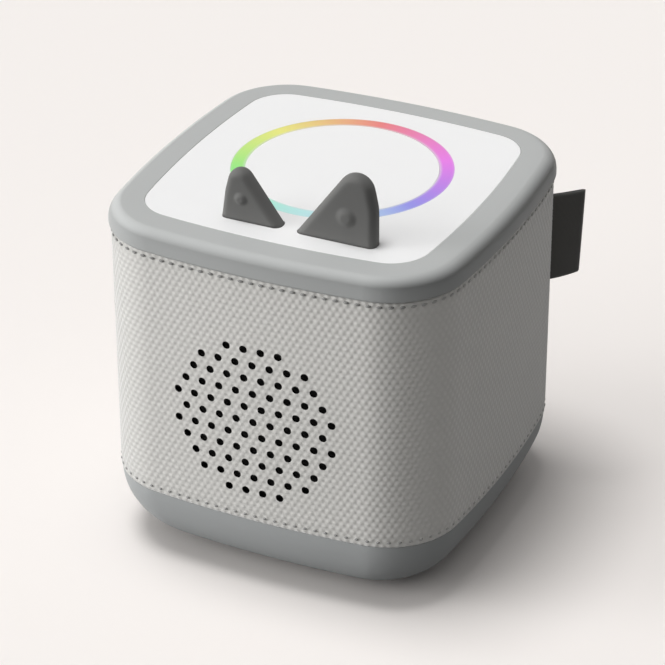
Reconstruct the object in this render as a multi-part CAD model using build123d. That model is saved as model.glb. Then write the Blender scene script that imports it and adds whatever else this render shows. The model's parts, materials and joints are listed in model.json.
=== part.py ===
from build123d import *
import math
import os

# Audio story player: a soft rounded cube with a speaker behind a fabric front, a glowing ring
# in its top plate for figures to stand in, and two ears that are its volume buttons.
# Millimetres. +Z is up, the speaker faces -Y, and the origin is on the table under the middle.

# ---------------------------------------------------------------- driving sizes
# Body
BODY_HEIGHT = 119.0         # table to the face of the top plate
BODY_HALF = 61.1            # axis to the middle of a side of the top frame
SIDE_RADIUS = 350.0         # soft bulge of the frame's sides, seen from above
FRAME_CORNER = 25.5         # corner radius of the top frame, seen from above
FRAME_DEPTH = 7.5           # face of the top plate down to the frame's lower lip
FRAME_EDGE = 5.6            # rounding of the frame's upper edge
FRAME_LIP_ROUND = 0.9
FRAME_OVERHANG = 0.8        # the frame stands out this far over the fabric
SLEEVE_THICKNESS = 3.0      # fabric and the foam behind it
SLEEVE_EDGE = 0.7           # soft edge of the fabric at top and bottom
HOUSING_WALL = 2.2
BASE_HEIGHT = 24.5          # table to the seam between fabric and base
BASE_FOOT_MARGIN = 4.2      # flat underside left round the battery door's ends
BASE_WALL = 2.2
BASE_SECTIONS = 6           # steps from the upright rim to the flat underside
BASE_SETBACK = 0.3          # fabric stands out this far over the base
FOOT_HEIGHT = 1.2
FOOT_RADIUS = 4.5
FOOT_INSET = 11.0           # side of the flat underside to the middle of a foot
FOOT_RECESS = 0.6
SPIGOT = 3.0                # the housing reaches this far down into the base
SLIP = 0.1                  # clearance between shells that slide together

# Top plate, light ring and figure disc
FRAME_RIM = 11.7            # width of the frame round the plate
PLATE_CORNER = 13.0
PLATE_THICKNESS = 2.0
PLATE_EDGE = 0.25
LEDGE_THICKNESS = 2.0       # frame ledge under the plate
LEDGE_WIDTH = 2.9
LEDGE_CORNER = 24.0
RING_Y = 4.9                # centre of the ring, behind the middle
RING_MARGIN = 14.1          # side of the plate to the ring, with the ring in the middle
RING_WIDTH = 4.5
RING_FLANGE = 2.2           # flange of the light ring under plate and disc
RING_FLANGE_THICKNESS = 1.0
SEAM = 0.08                 # visible seam round the light ring and the plate
BAFFLE_WALL = 1.2
BAFFLE_FLOOR = 0.8
DECK_THICKNESS = 2.2
DECK_DEPTH = 9.0            # top plate's face down to the deck
LED_BOARD_THICKNESS = 1.2
LED_COUNT = 24
LED_SIZE = 2.0
LED_HEIGHT = 0.7
LED_CLEARANCE = 0.3
MAGNET_RADIUS = 11.0
MAGNET_THICKNESS = 4.5
HOLDER_GAP = 3.6            # between the magnet's holder and the light ring
HOLDER_WALL = 1.4
ANTENNA_INSET = 1.0
ANTENNA_THICKNESS = 0.8

# Ears: inner foot, outer foot, lean of the outer side and knee, in front view
EAR_MARGIN = 8.3            # front side of the plate to the ears
EAR_SIDE = 29.3             # side of the body to the foot of the large ear
EAR_THICKNESS = 5.8
EAR_EDGE = 2.3              # rounding of the ears' front and back edges
EAR_WALL = 1.4              # rubber wall over the core
EAR_SLOPE = 54.0            # degrees, the long inner side
LARGE_EAR_WIDTH = 26.3
SMALL_EAR_WIDTH = 20.2
EAR_GAP = 5.2               # between the feet of the two ears
LARGE_EAR = {"inner": BODY_HALF - EAR_SIDE - LARGE_EAR_WIDTH, "outer": BODY_HALF - EAR_SIDE,
             "lean": 0.0, "knee": 12.0, "upper_lean": 12.4, "tip": 5.7}
SMALL_EAR = {"inner": LARGE_EAR["inner"] - EAR_GAP,
             "outer": LARGE_EAR["inner"] - EAR_GAP - SMALL_EAR_WIDTH,
             "lean": 8.0, "knee": 9.0, "upper_lean": 14.5, "tip": 3.9}
KNEE_ROUND = 18.0
EAR_FLANGE = 1.2            # rubber flange under the plate
EAR_FLANGE_THICKNESS = 1.6
EAR_FIT = 0.08              # gap between an ear and its slot in the plate
LARGE_PAD_SIDE = 9.2        # outer foot of an ear to the middle of its pad
SMALL_PAD_SIDE = 7.3
LARGE_PAD = {"x": LARGE_EAR["outer"] - LARGE_PAD_SIDE, "above": 8.8, "radius": 3.2}
SMALL_PAD = {"x": SMALL_EAR["outer"] + SMALL_PAD_SIDE, "above": 7.5, "radius": 2.15}
PAD_DOME = 0.8              # how far the dome stands out of the ear
PAD_TRAVEL = 0.6
PAD_FIT = 0.05              # radial running gap of a pad in its ear
PAD_LIP = 0.4               # lip that keeps a pad behind the rubber
WELL_MARGIN = 0.6
WELL_FLOOR = 0.5            # core left behind the switch
SWITCH_THICKNESS = 1.4
SWITCH_EDGE = 0.3
EAR_SCREW_INSET = 3.2
EAR_SCREW_HEAD = 2.0

# Speaker opening and perforations
SPEAKER_Z = 61.0
FIELD_RADIUS = 29.0
HOLE_PITCH = 5.85
HOLE_RADIUS = 1.0
GRILLE_RADIUS = 33.5
GRILLE_HOLE_RADIUS = 1.35
GRILLE_LIP = 2.0            # the grille's rim laps the opening in the housing
GRILLE_LIP_DEPTH = 1.1

# Speaker drive unit, measured back from the face of its flange
MOUNT_RING_DEPTH = 4.1      # front wall to the face of the mounting ring behind it
GASKET_THICKNESS = 1.0
BASKET_RADIUS = 31.5
BASKET_BORE = 26.0          # inner edge of the flange
BASKET_METAL = 1.0
BASKET_DEPTH = 15.0
BASKET_COLLAR = 4.0         # upright wall that holds the surround
BASKET_REAR = 18.5
BASKET_WINDOWS = 6
BASKET_RIB = 5.0            # width of the ribs between the windows
TERMINAL = (9.0, 1.2, 7.0)
TERMINAL_FACE = 19.0        # axis to the outer face of the terminal tab
SURROUND_ROLL = 2.0
SURROUND_SKIN = 0.4
CONE_DEPTH = 8.0
CONE_SKIN = 0.5
COIL_RADIUS = 9.5
COIL_SKIN = 0.25
COIL_WINDING = 0.35
COIL_LENGTH = 10.0
COIL_GAP = 0.3
CONE_TRAVEL = 1.0
SPIDER_RADIUS = 15.0
SPIDER_DEPTH = 13.0
SPIDER_RIM = 0.8
SPIDER_WAVES = 4
WASHER_RADIUS = 16.0
WASHER_THICKNESS = 2.5
SPEAKER_MAGNET_RADIUS = 17.5
SPEAKER_MAGNET_THICKNESS = 7.0
SPEAKER_MAGNET_BORE = 11.0
YOKE_THICKNESS = 2.5
SPEAKER_SCREW_CIRCLE = 29.4
SPEAKER_SCREW_BITE = 2.5

# Label in the rear right seam
LABEL_HEIGHT = 31.0
LABEL_REACH = 13.6          # stands out of the fabric this far
LABEL_THICKNESS = 0.9
LABEL_DROP = 20.3           # top plate's face down to its upper edge
LABEL_ROOT = 2.0            # sewn into the seam this deep

# Battery and electronics
CELL_RADIUS = 9.2
CELL_LENGTH = 65.0
CELL_GAP = 0.6
CELL_NUB = 1.0
BOX_WALL = 1.5
DOOR_CORNER = 2.0
DOOR_CLEARANCE = 0.25
DOOR_TAB_RADIUS = 4.0
DOOR_TAB_OUT = 2.5          # centre of a screw tab, out from the door's long edge
CONTACT_SKIN = 0.4
CONTACT_HEIGHT = 10.0
CONTACT_BUMP = (3.0, 1.5)
DOOR_MARGIN = 1.2           # box stands on the base floor this far round the door
LUG_LOW = 10.0              # lugs at the ends of the box, screwed to the base
LUG_THICKNESS = 2.5
LUG_RADIUS = 3.4
LUG_OUT = 4.0               # centre of a lug's screw, out from the end of the box
BOARD_THICKNESS = 1.6
BOARD_CORNER = 3.0
BOARD_EDGE = 5.0            # middle of a board screw to the edge of the board
BOARD_REAR_GAP = 4.0
STANDOFF_HEIGHT = 2.6
STANDOFF_RADIUS = 2.6
CONNECTOR = (7.0, 5.0, 2.5)
CONNECTOR_INSET = 6.0
STANDOFF_INSET = (4.5, 5.5)     # side of the battery box to the middle of a standoff
CHIP = (9.0, 9.0, 1.2)
SMALL_CHIP = (5.0, 5.0, 1.0)
CHIP_GAP = 5.5
CAPACITOR_RADIUS = 3.2
CAPACITOR_HEIGHT = 7.5
CAPACITOR_PITCH = 8.0
PORT_X = 15.0               # headphone socket on the left and charging socket on the right
JACK_NOSE_RADIUS = 3.4
JACK_BORE_RADIUS = 1.8
JACK_BORE_DEPTH = 14.0
JACK_BODY = (8.0, 13.0, 7.0)
USB_WIDTH = 8.94
USB_HEIGHT = 3.26
USB_SKIN = 0.3
USB_DEPTH = 9.0
USB_BACK = 1.0
USB_TONGUE = (6.6, 0.7)
SHIELD = (28.0, 22.0, 3.2)
SHIELD_Y = 14.0
SHIELD_SKIN = 0.5
PORT_RISE = 3.5             # board to the axis of both sockets
PORT_FIT = 0.1

# Screws
SCREW_RADIUS = 1.25
SCREW_HEAD_RADIUS = 2.3
SCREW_HEAD_HEIGHT = 1.6
SCREW_CROSS = (2.4, 0.7)
BASE_SCREW_INSET = 14.1     # inside of the housing's wall to the middle of a base screw
BASE_SCREW_SEAT = 12.0      # height of the seat under the base
BASE_BOSS_RADIUS = 4.6
FRAME_SCREW_INSET = 6.6     # side of the plate to the middle of a frame screw
FRAME_BOSS_RADIUS = 3.2
TAB_HEIGHT = 5.0
LEAD_RADIUS = 0.9
LEAD_CLEAR = 6.0            # how far a lead stands off what it passes
LEAD_RISE = 4.0
LEAD_SIDESTEP = 5.0
LEAD_DROP = 27.0            # straight run of the lights' lead at each end
BATTERY_LEAD_BEND = 2.6
SPEAKER_LEAD_BEND = 1.9
LIGHTS_LEAD_BEND = 8.0

# ---------------------------------------------------------------- places that follow
SIDE_CENTRE = SIDE_RADIUS - BODY_HALF
PLATE_HALF = BODY_HALF - FRAME_RIM
LEDGE_HALF = PLATE_HALF - LEDGE_WIDTH       # opening inside the ledge
FRAME_SCREW_PLACE = PLATE_HALF - FRAME_SCREW_INSET
FRAME_LOW = BODY_HEIGHT - FRAME_DEPTH
PLATE_LOW = BODY_HEIGHT - PLATE_THICKNESS
LEDGE_LOW = PLATE_LOW - LEDGE_THICKNESS
DECK_TOP = BODY_HEIGHT - DECK_DEPTH
SLEEVE_HALF = BODY_HALF - FRAME_OVERHANG
SLEEVE_CORNER = FRAME_CORNER - FRAME_OVERHANG
HOUSING_HALF = SLEEVE_HALF - SLEEVE_THICKNESS
HOUSING_CORNER = SLEEVE_CORNER - SLEEVE_THICKNESS
INSIDE_HALF = HOUSING_HALF - HOUSING_WALL
INSIDE_CORNER = HOUSING_CORNER - HOUSING_WALL
BASE_SCREW_PLACE = INSIDE_HALF - BASE_SCREW_INSET
HOUSING_LOW = BASE_HEIGHT - SPIGOT
BASE_TOP_HALF = SLEEVE_HALF - BASE_SETBACK
BASE_CORNER = SLEEVE_CORNER - BASE_SETBACK
BASE_FLOOR = FOOT_HEIGHT + BASE_WALL
RING_OUTER = PLATE_HALF - RING_MARGIN
RING_INNER = RING_OUTER - RING_WIDTH
RING_FLANGE_LOW = PLATE_LOW - RING_FLANGE_THICKNESS
FLANGE_INNER = RING_INNER - RING_FLANGE
FLANGE_OUTER = RING_OUTER + RING_FLANGE
RING_MIDDLE = (RING_INNER + RING_OUTER) / 2
LED_BOARD_TOP = DECK_TOP + LED_BOARD_THICKNESS
HOLDER_RADIUS = FLANGE_INNER - HOLDER_GAP
ANTENNA_RADIUS = HOLDER_RADIUS - ANTENNA_INSET
EAR_FRONT_Y = EAR_MARGIN - PLATE_HALF
EAR_BACK_Y = EAR_FRONT_Y + EAR_THICKNESS
EAR_FLANGE_LOW = PLATE_LOW - EAR_FLANGE_THICKNESS
WELL_BACK = EAR_WALL + WELL_FLOOR - EAR_THICKNESS
PAD_BACK = WELL_BACK + SWITCH_THICKNESS + SLIP + PAD_TRAVEL
CELL_Z = BASE_FLOOR + CELL_GAP + CELL_RADIUS
BOX_X = CELL_LENGTH / 2 + 2 * BOX_WALL
BOX_Y = 2 * CELL_RADIUS + CELL_GAP + BOX_WALL
BOX_TOP = CELL_Z + CELL_RADIUS + CELL_GAP + BOX_WALL
DOOR_X = BOX_X - DOOR_MARGIN
DOOR_Y = BOX_Y - DOOR_MARGIN
BASE_FOOT_HALF = DOOR_X + BASE_FOOT_MARGIN
BASE_CURVE_IN = BASE_TOP_HALF - BASE_FOOT_HALF
FOOT_PLACE = BASE_FOOT_HALF - FOOT_INSET    # feet at plus and minus this in X and Y
CELL_Y = CELL_RADIUS + CELL_GAP / 2
BOARD_LOW = BOX_TOP + STANDOFF_HEIGHT
BOARD_TOP = BOARD_LOW + BOARD_THICKNESS
STANDOFF_X = BOX_X - STANDOFF_INSET[0]
STANDOFF_Y = BOX_Y - STANDOFF_INSET[1]
BOARD_WIDTH = 2 * (STANDOFF_X + BOARD_EDGE)
BOARD_FRONT_Y = -STANDOFF_Y - BOARD_EDGE
BOARD_REAR_Y = INSIDE_HALF - BOARD_REAR_GAP
CHIP_X = SHIELD[0] / 2 + CHIP_GAP + CHIP[0] / 2
CHIP_Y = SHIELD_Y + SHIELD[1] / 2 + CHIP_GAP / 2
PORT_Z = BOARD_TOP + PORT_RISE
PORT_FACE_Y = SLEEVE_HALF - PORT_X**2 / (2 * SIDE_RADIUS)
DECK_LOW = DECK_TOP - DECK_THICKNESS
GRILLE_OPENING = GRILLE_RADIUS - GRILLE_LIP
MOUNT_RING_Y = MOUNT_RING_DEPTH - INSIDE_HALF
SPEAKER_FLANGE_Y = MOUNT_RING_Y + GASKET_THICKNESS
CONE_RADIUS = BASKET_BORE - 2 * SURROUND_ROLL
WASHER_FACE = -BASKET_DEPTH - BASKET_METAL
MAGNET_FACE = WASHER_FACE - WASHER_THICKNESS
YOKE_FACE = MAGNET_FACE - SPEAKER_MAGNET_THICKNESS
POLE_RADIUS = COIL_RADIUS - COIL_SKIN - COIL_GAP
WASHER_BORE = COIL_RADIUS + COIL_WINDING + COIL_GAP
# Local Z of the speaker points out through the front
SPEAKER_PLACE = Location((0, SPEAKER_FLANGE_Y, SPEAKER_Z), (90, 0, 0))


# ---------------------------------------------------------------- shapes used by several parts
def plan(half, corner, z=0.0):
    """Rounded square with softly bulged sides. Every shell of the body is an offset of it."""
    radius = SIDE_CENTRE + half
    reach = (math.sqrt(2 * radius**2 - SIDE_CENTRE**2) - SIDE_CENTRE) / 2
    ends = [(-reach, -reach), (reach, -reach), (reach, reach), (-reach, reach)]
    middles = [(0, -half), (half, 0), (0, half), (-half, 0)]
    with BuildSketch(Plane.XY.offset(z)) as outline:
        with BuildLine():
            for side, middle in enumerate(middles):
                ThreePointArc(ends[side], middle, ends[(side + 1) % 4])
        make_face()
        fillet(outline.vertices(), corner)
    return outline.sketch


def slab(half, corner, low, high):
    return extrude(plan(half, corner, low), amount=high - low)


def disc(radius, low, high, x=0.0, y=0.0):
    return Pos(x, y, low) * extrude(Circle(radius), amount=high - low)


def block(width, depth, low, high, x=0.0, y=0.0):
    return Pos(x, y, low) * extrude(Rectangle(width, depth), amount=high - low)


def turned(points):
    """Solid of revolution about Z from points given as radius and height."""
    return revolve(Plane.XZ * make_face(Polyline(*points, close=True)), Axis.Z)


def corners(place):
    return [(sx * place, sy * place) for sx in (-1, 1) for sy in (-1, 1)]


def screw(length, head_radius=SCREW_HEAD_RADIUS):
    """Pan-head screw. Its seat is at Z 0 and its shank points along +Z."""
    head = disc(head_radius, -SCREW_HEAD_HEIGHT, 0)
    head = fillet(head.edges().group_by(Axis.Z)[0], SCREW_HEAD_HEIGHT / 2)
    long, short = SCREW_CROSS
    cross = block(long, short, -SCREW_HEAD_HEIGHT, -SCREW_HEAD_HEIGHT / 2)
    cross += block(short, long, -SCREW_HEAD_HEIGHT, -SCREW_HEAD_HEIGHT / 2)
    return head - cross + disc(SCREW_RADIUS, 0, length)


def group(items):
    """Several separate solids as one node."""
    return Compound([solid for item in items for solid in item.solids()])


# ---------------------------------------------------------------- top frame and plate
def top_frame():
    frame = slab(BODY_HALF, FRAME_CORNER, FRAME_LOW, BODY_HEIGHT)
    frame = fillet(frame.edges().group_by(Axis.Z)[-1], FRAME_EDGE)
    frame = fillet(frame.edges().group_by(Axis.Z)[0], FRAME_LIP_ROUND)
    frame -= slab(PLATE_HALF + SEAM, PLATE_CORNER + SEAM, PLATE_LOW, BODY_HEIGHT)
    frame -= slab(LEDGE_HALF, LEDGE_CORNER, FRAME_LOW, PLATE_LOW)
    frame -= slab(HOUSING_HALF + SLIP, HOUSING_CORNER + SLIP, FRAME_LOW, LEDGE_LOW)
    for x, y in corners(FRAME_SCREW_PLACE):
        frame += disc(FRAME_BOSS_RADIUS, DECK_TOP, LEDGE_LOW, x, y)
        frame -= disc(SCREW_RADIUS, DECK_TOP, LEDGE_LOW + LEDGE_THICKNESS / 2, x, y)
    return frame


def ear_slot(ear, gap):
    """Opening in the plate, the ear's foot with a gap all round."""
    width = abs(ear["outer"] - ear["inner"]) + 2 * gap
    depth = EAR_THICKNESS + 2 * gap
    middle = Pos((ear["outer"] + ear["inner"]) / 2, (EAR_FRONT_Y + EAR_BACK_Y) / 2)
    return middle * RectangleRounded(width, depth, EAR_EDGE + gap)


def top_plate():
    plate = slab(PLATE_HALF, PLATE_CORNER, PLATE_LOW, BODY_HEIGHT)
    plate = fillet(plate.edges().group_by(Axis.Z)[-1], PLATE_EDGE)
    plate -= disc(RING_OUTER + SEAM, PLATE_LOW, BODY_HEIGHT, 0, RING_Y)
    for ear in (LARGE_EAR, SMALL_EAR):
        plate -= Pos(0, 0, PLATE_LOW) * extrude(ear_slot(ear, EAR_FIT), amount=PLATE_THICKNESS)
    return plate


def figure_disc():
    plate = disc(RING_INNER - SEAM, PLATE_LOW, BODY_HEIGHT, 0, RING_Y)
    return fillet(plate.edges().group_by(Axis.Z)[-1], PLATE_EDGE)


def light_ring():
    """Translucent ring, flush with the plate, on a wider flange that carries plate and disc."""
    ring = turned([
        (FLANGE_INNER, RING_FLANGE_LOW), (FLANGE_OUTER, RING_FLANGE_LOW), (FLANGE_OUTER, PLATE_LOW),
        (RING_OUTER, PLATE_LOW), (RING_OUTER, BODY_HEIGHT), (RING_INNER, BODY_HEIGHT),
        (RING_INNER, PLATE_LOW), (FLANGE_INNER, PLATE_LOW)])
    return Pos(0, RING_Y, 0) * ring


def led_places():
    return PolarLocations(RING_MIDDLE, LED_COUNT)


def light_baffle():
    """Trough that keeps the light under the ring, with a window over each light."""
    low = LED_BOARD_TOP
    floor = low + BAFFLE_FLOOR
    trough = turned([
        (FLANGE_INNER, low), (FLANGE_OUTER, low), (FLANGE_OUTER, RING_FLANGE_LOW),
        (FLANGE_OUTER - BAFFLE_WALL, RING_FLANGE_LOW), (FLANGE_OUTER - BAFFLE_WALL, floor),
        (FLANGE_INNER + BAFFLE_WALL, floor), (FLANGE_INNER + BAFFLE_WALL, RING_FLANGE_LOW),
        (FLANGE_INNER, RING_FLANGE_LOW)])
    window = block(LED_SIZE + 2 * LED_CLEARANCE, LED_SIZE + 2 * LED_CLEARANCE, low, floor)
    trough -= [place * window for place in led_places()]
    return Pos(0, RING_Y, 0) * trough


def led_board():
    board = disc(FLANGE_OUTER, DECK_TOP, LED_BOARD_TOP) - disc(FLANGE_INNER, DECK_TOP, LED_BOARD_TOP)
    return Pos(0, RING_Y, 0) * board


def leds():
    chip = block(LED_SIZE, LED_SIZE, LED_BOARD_TOP, LED_BOARD_TOP + LED_HEIGHT)
    chip = fillet(chip.edges().group_by(Axis.Z)[-1], LED_HEIGHT / 4)
    return group([Pos(0, RING_Y, 0) * (place * chip) for place in led_places()])


def magnet_holder():
    """Cup under the figure disc. The antenna lies on it and the magnet sits in it."""
    top = PLATE_LOW - ANTENNA_THICKNESS
    pocket = top - MAGNET_THICKNESS
    rib = MAGNET_RADIUS + HOLDER_WALL
    holder = turned([
        (0, DECK_TOP), (HOLDER_RADIUS, DECK_TOP), (HOLDER_RADIUS, top),
        (HOLDER_RADIUS - HOLDER_WALL, top), (HOLDER_RADIUS - HOLDER_WALL, DECK_TOP + HOLDER_WALL),
        (rib, DECK_TOP + HOLDER_WALL), (rib, top), (MAGNET_RADIUS, top), (MAGNET_RADIUS, pocket),
        (0, pocket)])
    return Pos(0, RING_Y, 0) * holder


def figure_magnet():
    top = PLATE_LOW - ANTENNA_THICKNESS
    magnet = disc(MAGNET_RADIUS, top - MAGNET_THICKNESS, top, 0, RING_Y)
    return chamfer(magnet.edges(), 0.3)


def nfc_antenna():
    return disc(ANTENNA_RADIUS, PLATE_LOW - ANTENNA_THICKNESS, PLATE_LOW, 0, RING_Y)


# ---------------------------------------------------------------- ears
def ear_profile(ear, drop):
    """Front view of an ear on the XZ plane, from a drop below the plate's face to its tip."""
    side = math.copysign(1, ear["outer"] - ear["inner"])
    lean = math.tan(math.radians(ear["lean"]))
    upper = math.tan(math.radians(ear["upper_lean"]))
    slope = math.tan(math.radians(EAR_SLOPE))
    span = abs(ear["outer"] - ear["inner"])
    knee = span - lean * ear["knee"]
    # Where the long slope meets the line of the upper outer side
    tip_z = slope * (knee + upper * ear["knee"]) / (1 + slope * upper)
    tip_x = tip_z / slope
    points = [(0, -drop), (span, -drop), (span, 0), (knee, ear["knee"]), (tip_x, tip_z), (0, 0)]
    outline = [(ear["inner"] + side * x, BODY_HEIGHT + z) for x, z in points]
    face = make_face(Polyline(*outline, close=True))
    by_height = face.vertices().sort_by(Axis.Y)
    face = fillet(by_height[-1], ear["tip"])
    bend = [v for v in face.vertices() if abs(v.Y - BODY_HEIGHT - ear["knee"]) < 0.01]
    return fillet(bend, KNEE_ROUND)


def ear_solid(ear, drop, inset=0.0):
    face = ear_profile(ear, drop)
    if inset:
        face = offset(face, -inset)
    back = Plane.XZ.offset(-EAR_BACK_Y + inset)
    return extrude(back * face, amount=EAR_THICKNESS - 2 * inset)


def ear_blade(ear):
    return ear_solid(ear, DECK_DEPTH, EAR_WALL)


def pad_place(pad):
    """Local Z of a pad points out of the ear's front face."""
    return Location((pad["x"], EAR_FRONT_Y, BODY_HEIGHT + pad["above"]), (90, 0, 0))


def ear_cover(ear, pad):
    """Rubber skin of an ear, with a flange under the plate and a round window for the pad."""
    foot = BODY_HEIGHT - EAR_FLANGE_LOW
    cover = ear_solid(ear, foot)
    rim = [e for e in cover.edges()
           if e.center().Z > EAR_FLANGE_LOW + 0.01
           and min(abs(e.center().Y - EAR_FRONT_Y), abs(e.center().Y - EAR_BACK_Y)) < 0.01]
    cover = fillet(rim, EAR_EDGE)
    cover += Pos(0, 0, EAR_FLANGE_LOW) * extrude(ear_slot(ear, EAR_FLANGE), amount=EAR_FLANGE_THICKNESS)
    cover -= ear_blade(ear)
    window = disc(pad["radius"] + PAD_FIT, -EAR_WALL, PAD_DOME)
    return cover - pad_place(pad) * window


def ear_core(ear, pad):
    """Hard blade inside the rubber, on a block that stands on the deck."""
    foot = Pos(0, 0, DECK_TOP) * extrude(ear_slot(ear, EAR_FLANGE), amount=EAR_FLANGE_LOW - DECK_TOP)
    core = ear_blade(ear) + foot
    well = disc(pad["radius"] + WELL_MARGIN, WELL_BACK, 0)
    core -= pad_place(pad) * well
    for x, y in ear_screw_places(ear):
        core -= disc(SCREW_RADIUS, DECK_TOP, EAR_FLANGE_LOW, x, y)
    return core


def ear_screw_places(ear):
    middle_y = (EAR_FRONT_Y + EAR_BACK_Y) / 2
    inset = math.copysign(EAR_SCREW_INSET, ear["outer"] - ear["inner"])
    return [(ear["inner"] + inset, middle_y), (ear["outer"] - inset, middle_y)]


def volume_pad(pad):
    """Domed rubber button in an ear, with the lip that keeps it in and works the switch."""
    radius = pad["radius"]
    lip = -EAR_WALL - PAD_FIT
    with BuildSketch(Plane.XZ) as half:
        with BuildLine():
            Line((0, lip), (radius, lip))
            Line((radius, lip), (radius, 0))
            dome = (radius**2 + PAD_DOME**2) / (2 * PAD_DOME)
            RadiusArc((radius, 0), (0, PAD_DOME), -dome)
            Line((0, PAD_DOME), (0, lip))
        make_face()
    button = revolve(half.sketch, Axis.Z)
    return pad_place(pad) * (button + disc(radius + PAD_LIP, PAD_BACK, lip))


def ear_switch(pad):
    body = disc(pad["radius"], WELL_BACK, WELL_BACK + SWITCH_THICKNESS)
    return pad_place(pad) * chamfer(body.edges().group_by(Axis.Z)[-1], SWITCH_EDGE)


def ear_screws():
    places = ear_screw_places(LARGE_EAR) + ear_screw_places(SMALL_EAR)
    length = EAR_FLANGE_LOW - DECK_LOW
    return group([Pos(x, y, DECK_LOW) * screw(length, EAR_SCREW_HEAD) for x, y in places])


# ---------------------------------------------------------------- housing, fabric and label
def perforations(radius):
    """Round holes through the front, staggered, in a round field."""
    row_step = HOLE_PITCH * math.sqrt(3) / 2
    rows = int(FIELD_RADIUS / row_step)
    columns = int(FIELD_RADIUS / HOLE_PITCH) + 1
    bits = []
    for row in range(-rows, rows + 1):
        for column in range(-columns, columns + 1):
            x = (column + (row % 2) / 2) * HOLE_PITCH
            z = row * row_step
            if math.hypot(x, z) <= FIELD_RADIUS:
                bits.append(Pos(x, 0, z) * front_plug(radius, -INSIDE_HALF + HOUSING_WALL))
    return bits


def front_plug(radius, inner_y):
    """Cylinder on the speaker's axis, from a depth inside out past the front."""
    return Pos(0, inner_y, SPEAKER_Z) * extrude(Plane.XZ * Circle(radius), amount=BODY_HALF + inner_y)


def front_round(radius, outer_half, inner_half):
    """Round piece of the front wall, between two offsets of the body's outline."""
    plug = front_plug(radius, -INSIDE_HALF + HOUSING_WALL)
    low = SPEAKER_Z - radius - 1
    high = SPEAKER_Z + radius + 1
    shell = slab(outer_half, HOUSING_CORNER + outer_half - HOUSING_HALF, low, high)
    shell -= slab(inner_half, HOUSING_CORNER + inner_half - HOUSING_HALF, low, high)
    return shell & plug


def rear_cutters(gap):
    """Both sockets' noses as cutters that run out through the rear wall."""
    start = INSIDE_HALF - HOUSING_WALL
    length = BODY_HALF - start
    rear = Plane.XZ.offset(-start - length)
    round_nose = extrude(rear * Pos(-PORT_X, PORT_Z) * Circle(JACK_NOSE_RADIUS + gap), amount=length)
    flat = SlotOverall(USB_WIDTH + 2 * gap, USB_HEIGHT + 2 * gap)
    return [round_nose, extrude(rear * Pos(PORT_X, PORT_Z) * flat, amount=length)]


def core_housing():
    """Box behind the fabric, with a deck under its rim and the speaker's mounting ring."""
    housing = slab(HOUSING_HALF, HOUSING_CORNER, HOUSING_LOW, LEDGE_LOW)
    housing -= slab(INSIDE_HALF, INSIDE_CORNER, DECK_TOP, LEDGE_LOW)
    hollow = slab(INSIDE_HALF, INSIDE_CORNER, HOUSING_LOW, DECK_LOW)
    ring = front_plug(BASKET_RADIUS + HOUSING_WALL, MOUNT_RING_Y) - front_plug(BASKET_BORE, MOUNT_RING_Y)
    housing -= hollow - ring
    housing -= front_round(GRILLE_OPENING, HOUSING_HALF, INSIDE_HALF)
    housing -= front_round(GRILLE_RADIUS + SLIP, HOUSING_HALF, HOUSING_HALF - GRILLE_LIP_DEPTH)
    housing -= speaker_screw_holes()
    tab_top = HOUSING_LOW + TAB_HEIGHT
    inside = slab(HOUSING_HALF, HOUSING_CORNER, HOUSING_LOW, tab_top)
    width = 2 * BASE_BOSS_RADIUS
    for x, y in corners(BASE_SCREW_PLACE):
        reach = INSIDE_HALF - BASE_SCREW_PLACE
        tab = disc(BASE_BOSS_RADIUS, HOUSING_LOW, tab_top, x, y)
        tab += block(width, reach, HOUSING_LOW, tab_top, x, y + math.copysign(reach / 2, y))
        tab += block(reach, width, HOUSING_LOW, tab_top, x + math.copysign(reach / 2, x), y)
        housing += tab & inside
        housing -= disc(SCREW_RADIUS, HOUSING_LOW, tab_top, x, y)
    holes = corners(FRAME_SCREW_PLACE) + ear_screw_places(LARGE_EAR) + ear_screw_places(SMALL_EAR)
    for x, y in holes + [(-RING_MIDDLE, RING_Y)]:
        housing -= disc(SCREW_RADIUS, DECK_LOW, DECK_TOP, x, y)
    return housing - rear_cutters(PORT_FIT)


def label_solid(root):
    """Folded tape in the rear right seam, pointing out from the corner."""
    corner_middle = (SIDE_CENTRE + SLEEVE_HALF - SLEEVE_CORNER)
    spread = (math.sqrt(2 * corner_middle**2 - SIDE_CENTRE**2) - SIDE_CENTRE) / 2
    surface = spread * math.sqrt(2) + SLEEVE_CORNER
    length = LABEL_REACH + root
    high = BODY_HEIGHT - LABEL_DROP
    tape = block(length, LABEL_THICKNESS, high - LABEL_HEIGHT, high, surface - root + length / 2)
    return Rot(0, 0, 45) * tape


def fabric_sleeve():
    """Fabric over foam, wrapped round the housing, perforated in front of the speaker."""
    sleeve = slab(SLEEVE_HALF, SLEEVE_CORNER, BASE_HEIGHT, FRAME_LOW)
    rims = sleeve.edges().group_by(Axis.Z)
    sleeve = fillet(rims[0] + rims[-1], SLEEVE_EDGE)
    sleeve -= slab(HOUSING_HALF, HOUSING_CORNER, BASE_HEIGHT, FRAME_LOW)
    sleeve -= perforations(HOLE_RADIUS)
    sleeve -= rear_cutters(PORT_FIT)
    return sleeve - label_solid(LABEL_ROOT)


def corner_label():
    label = label_solid(LABEL_ROOT)
    outer = label.faces().sort_by(Axis((0, 0, 0), (1, 1, 0)))[-1]
    return fillet(outer.edges().filter_by(Axis.Z), LABEL_THICKNESS / 2 - 0.02)


# ---------------------------------------------------------------- speaker
def speaker_screw_places():
    return PolarLocations(SPEAKER_SCREW_CIRCLE, 4, start_angle=45)


def speaker_screw_holes():
    hole = disc(SCREW_RADIUS, -BASKET_METAL, GASKET_THICKNESS + SPEAKER_SCREW_BITE)
    return [SPEAKER_PLACE * place * hole for place in speaker_screw_places()]


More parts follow.
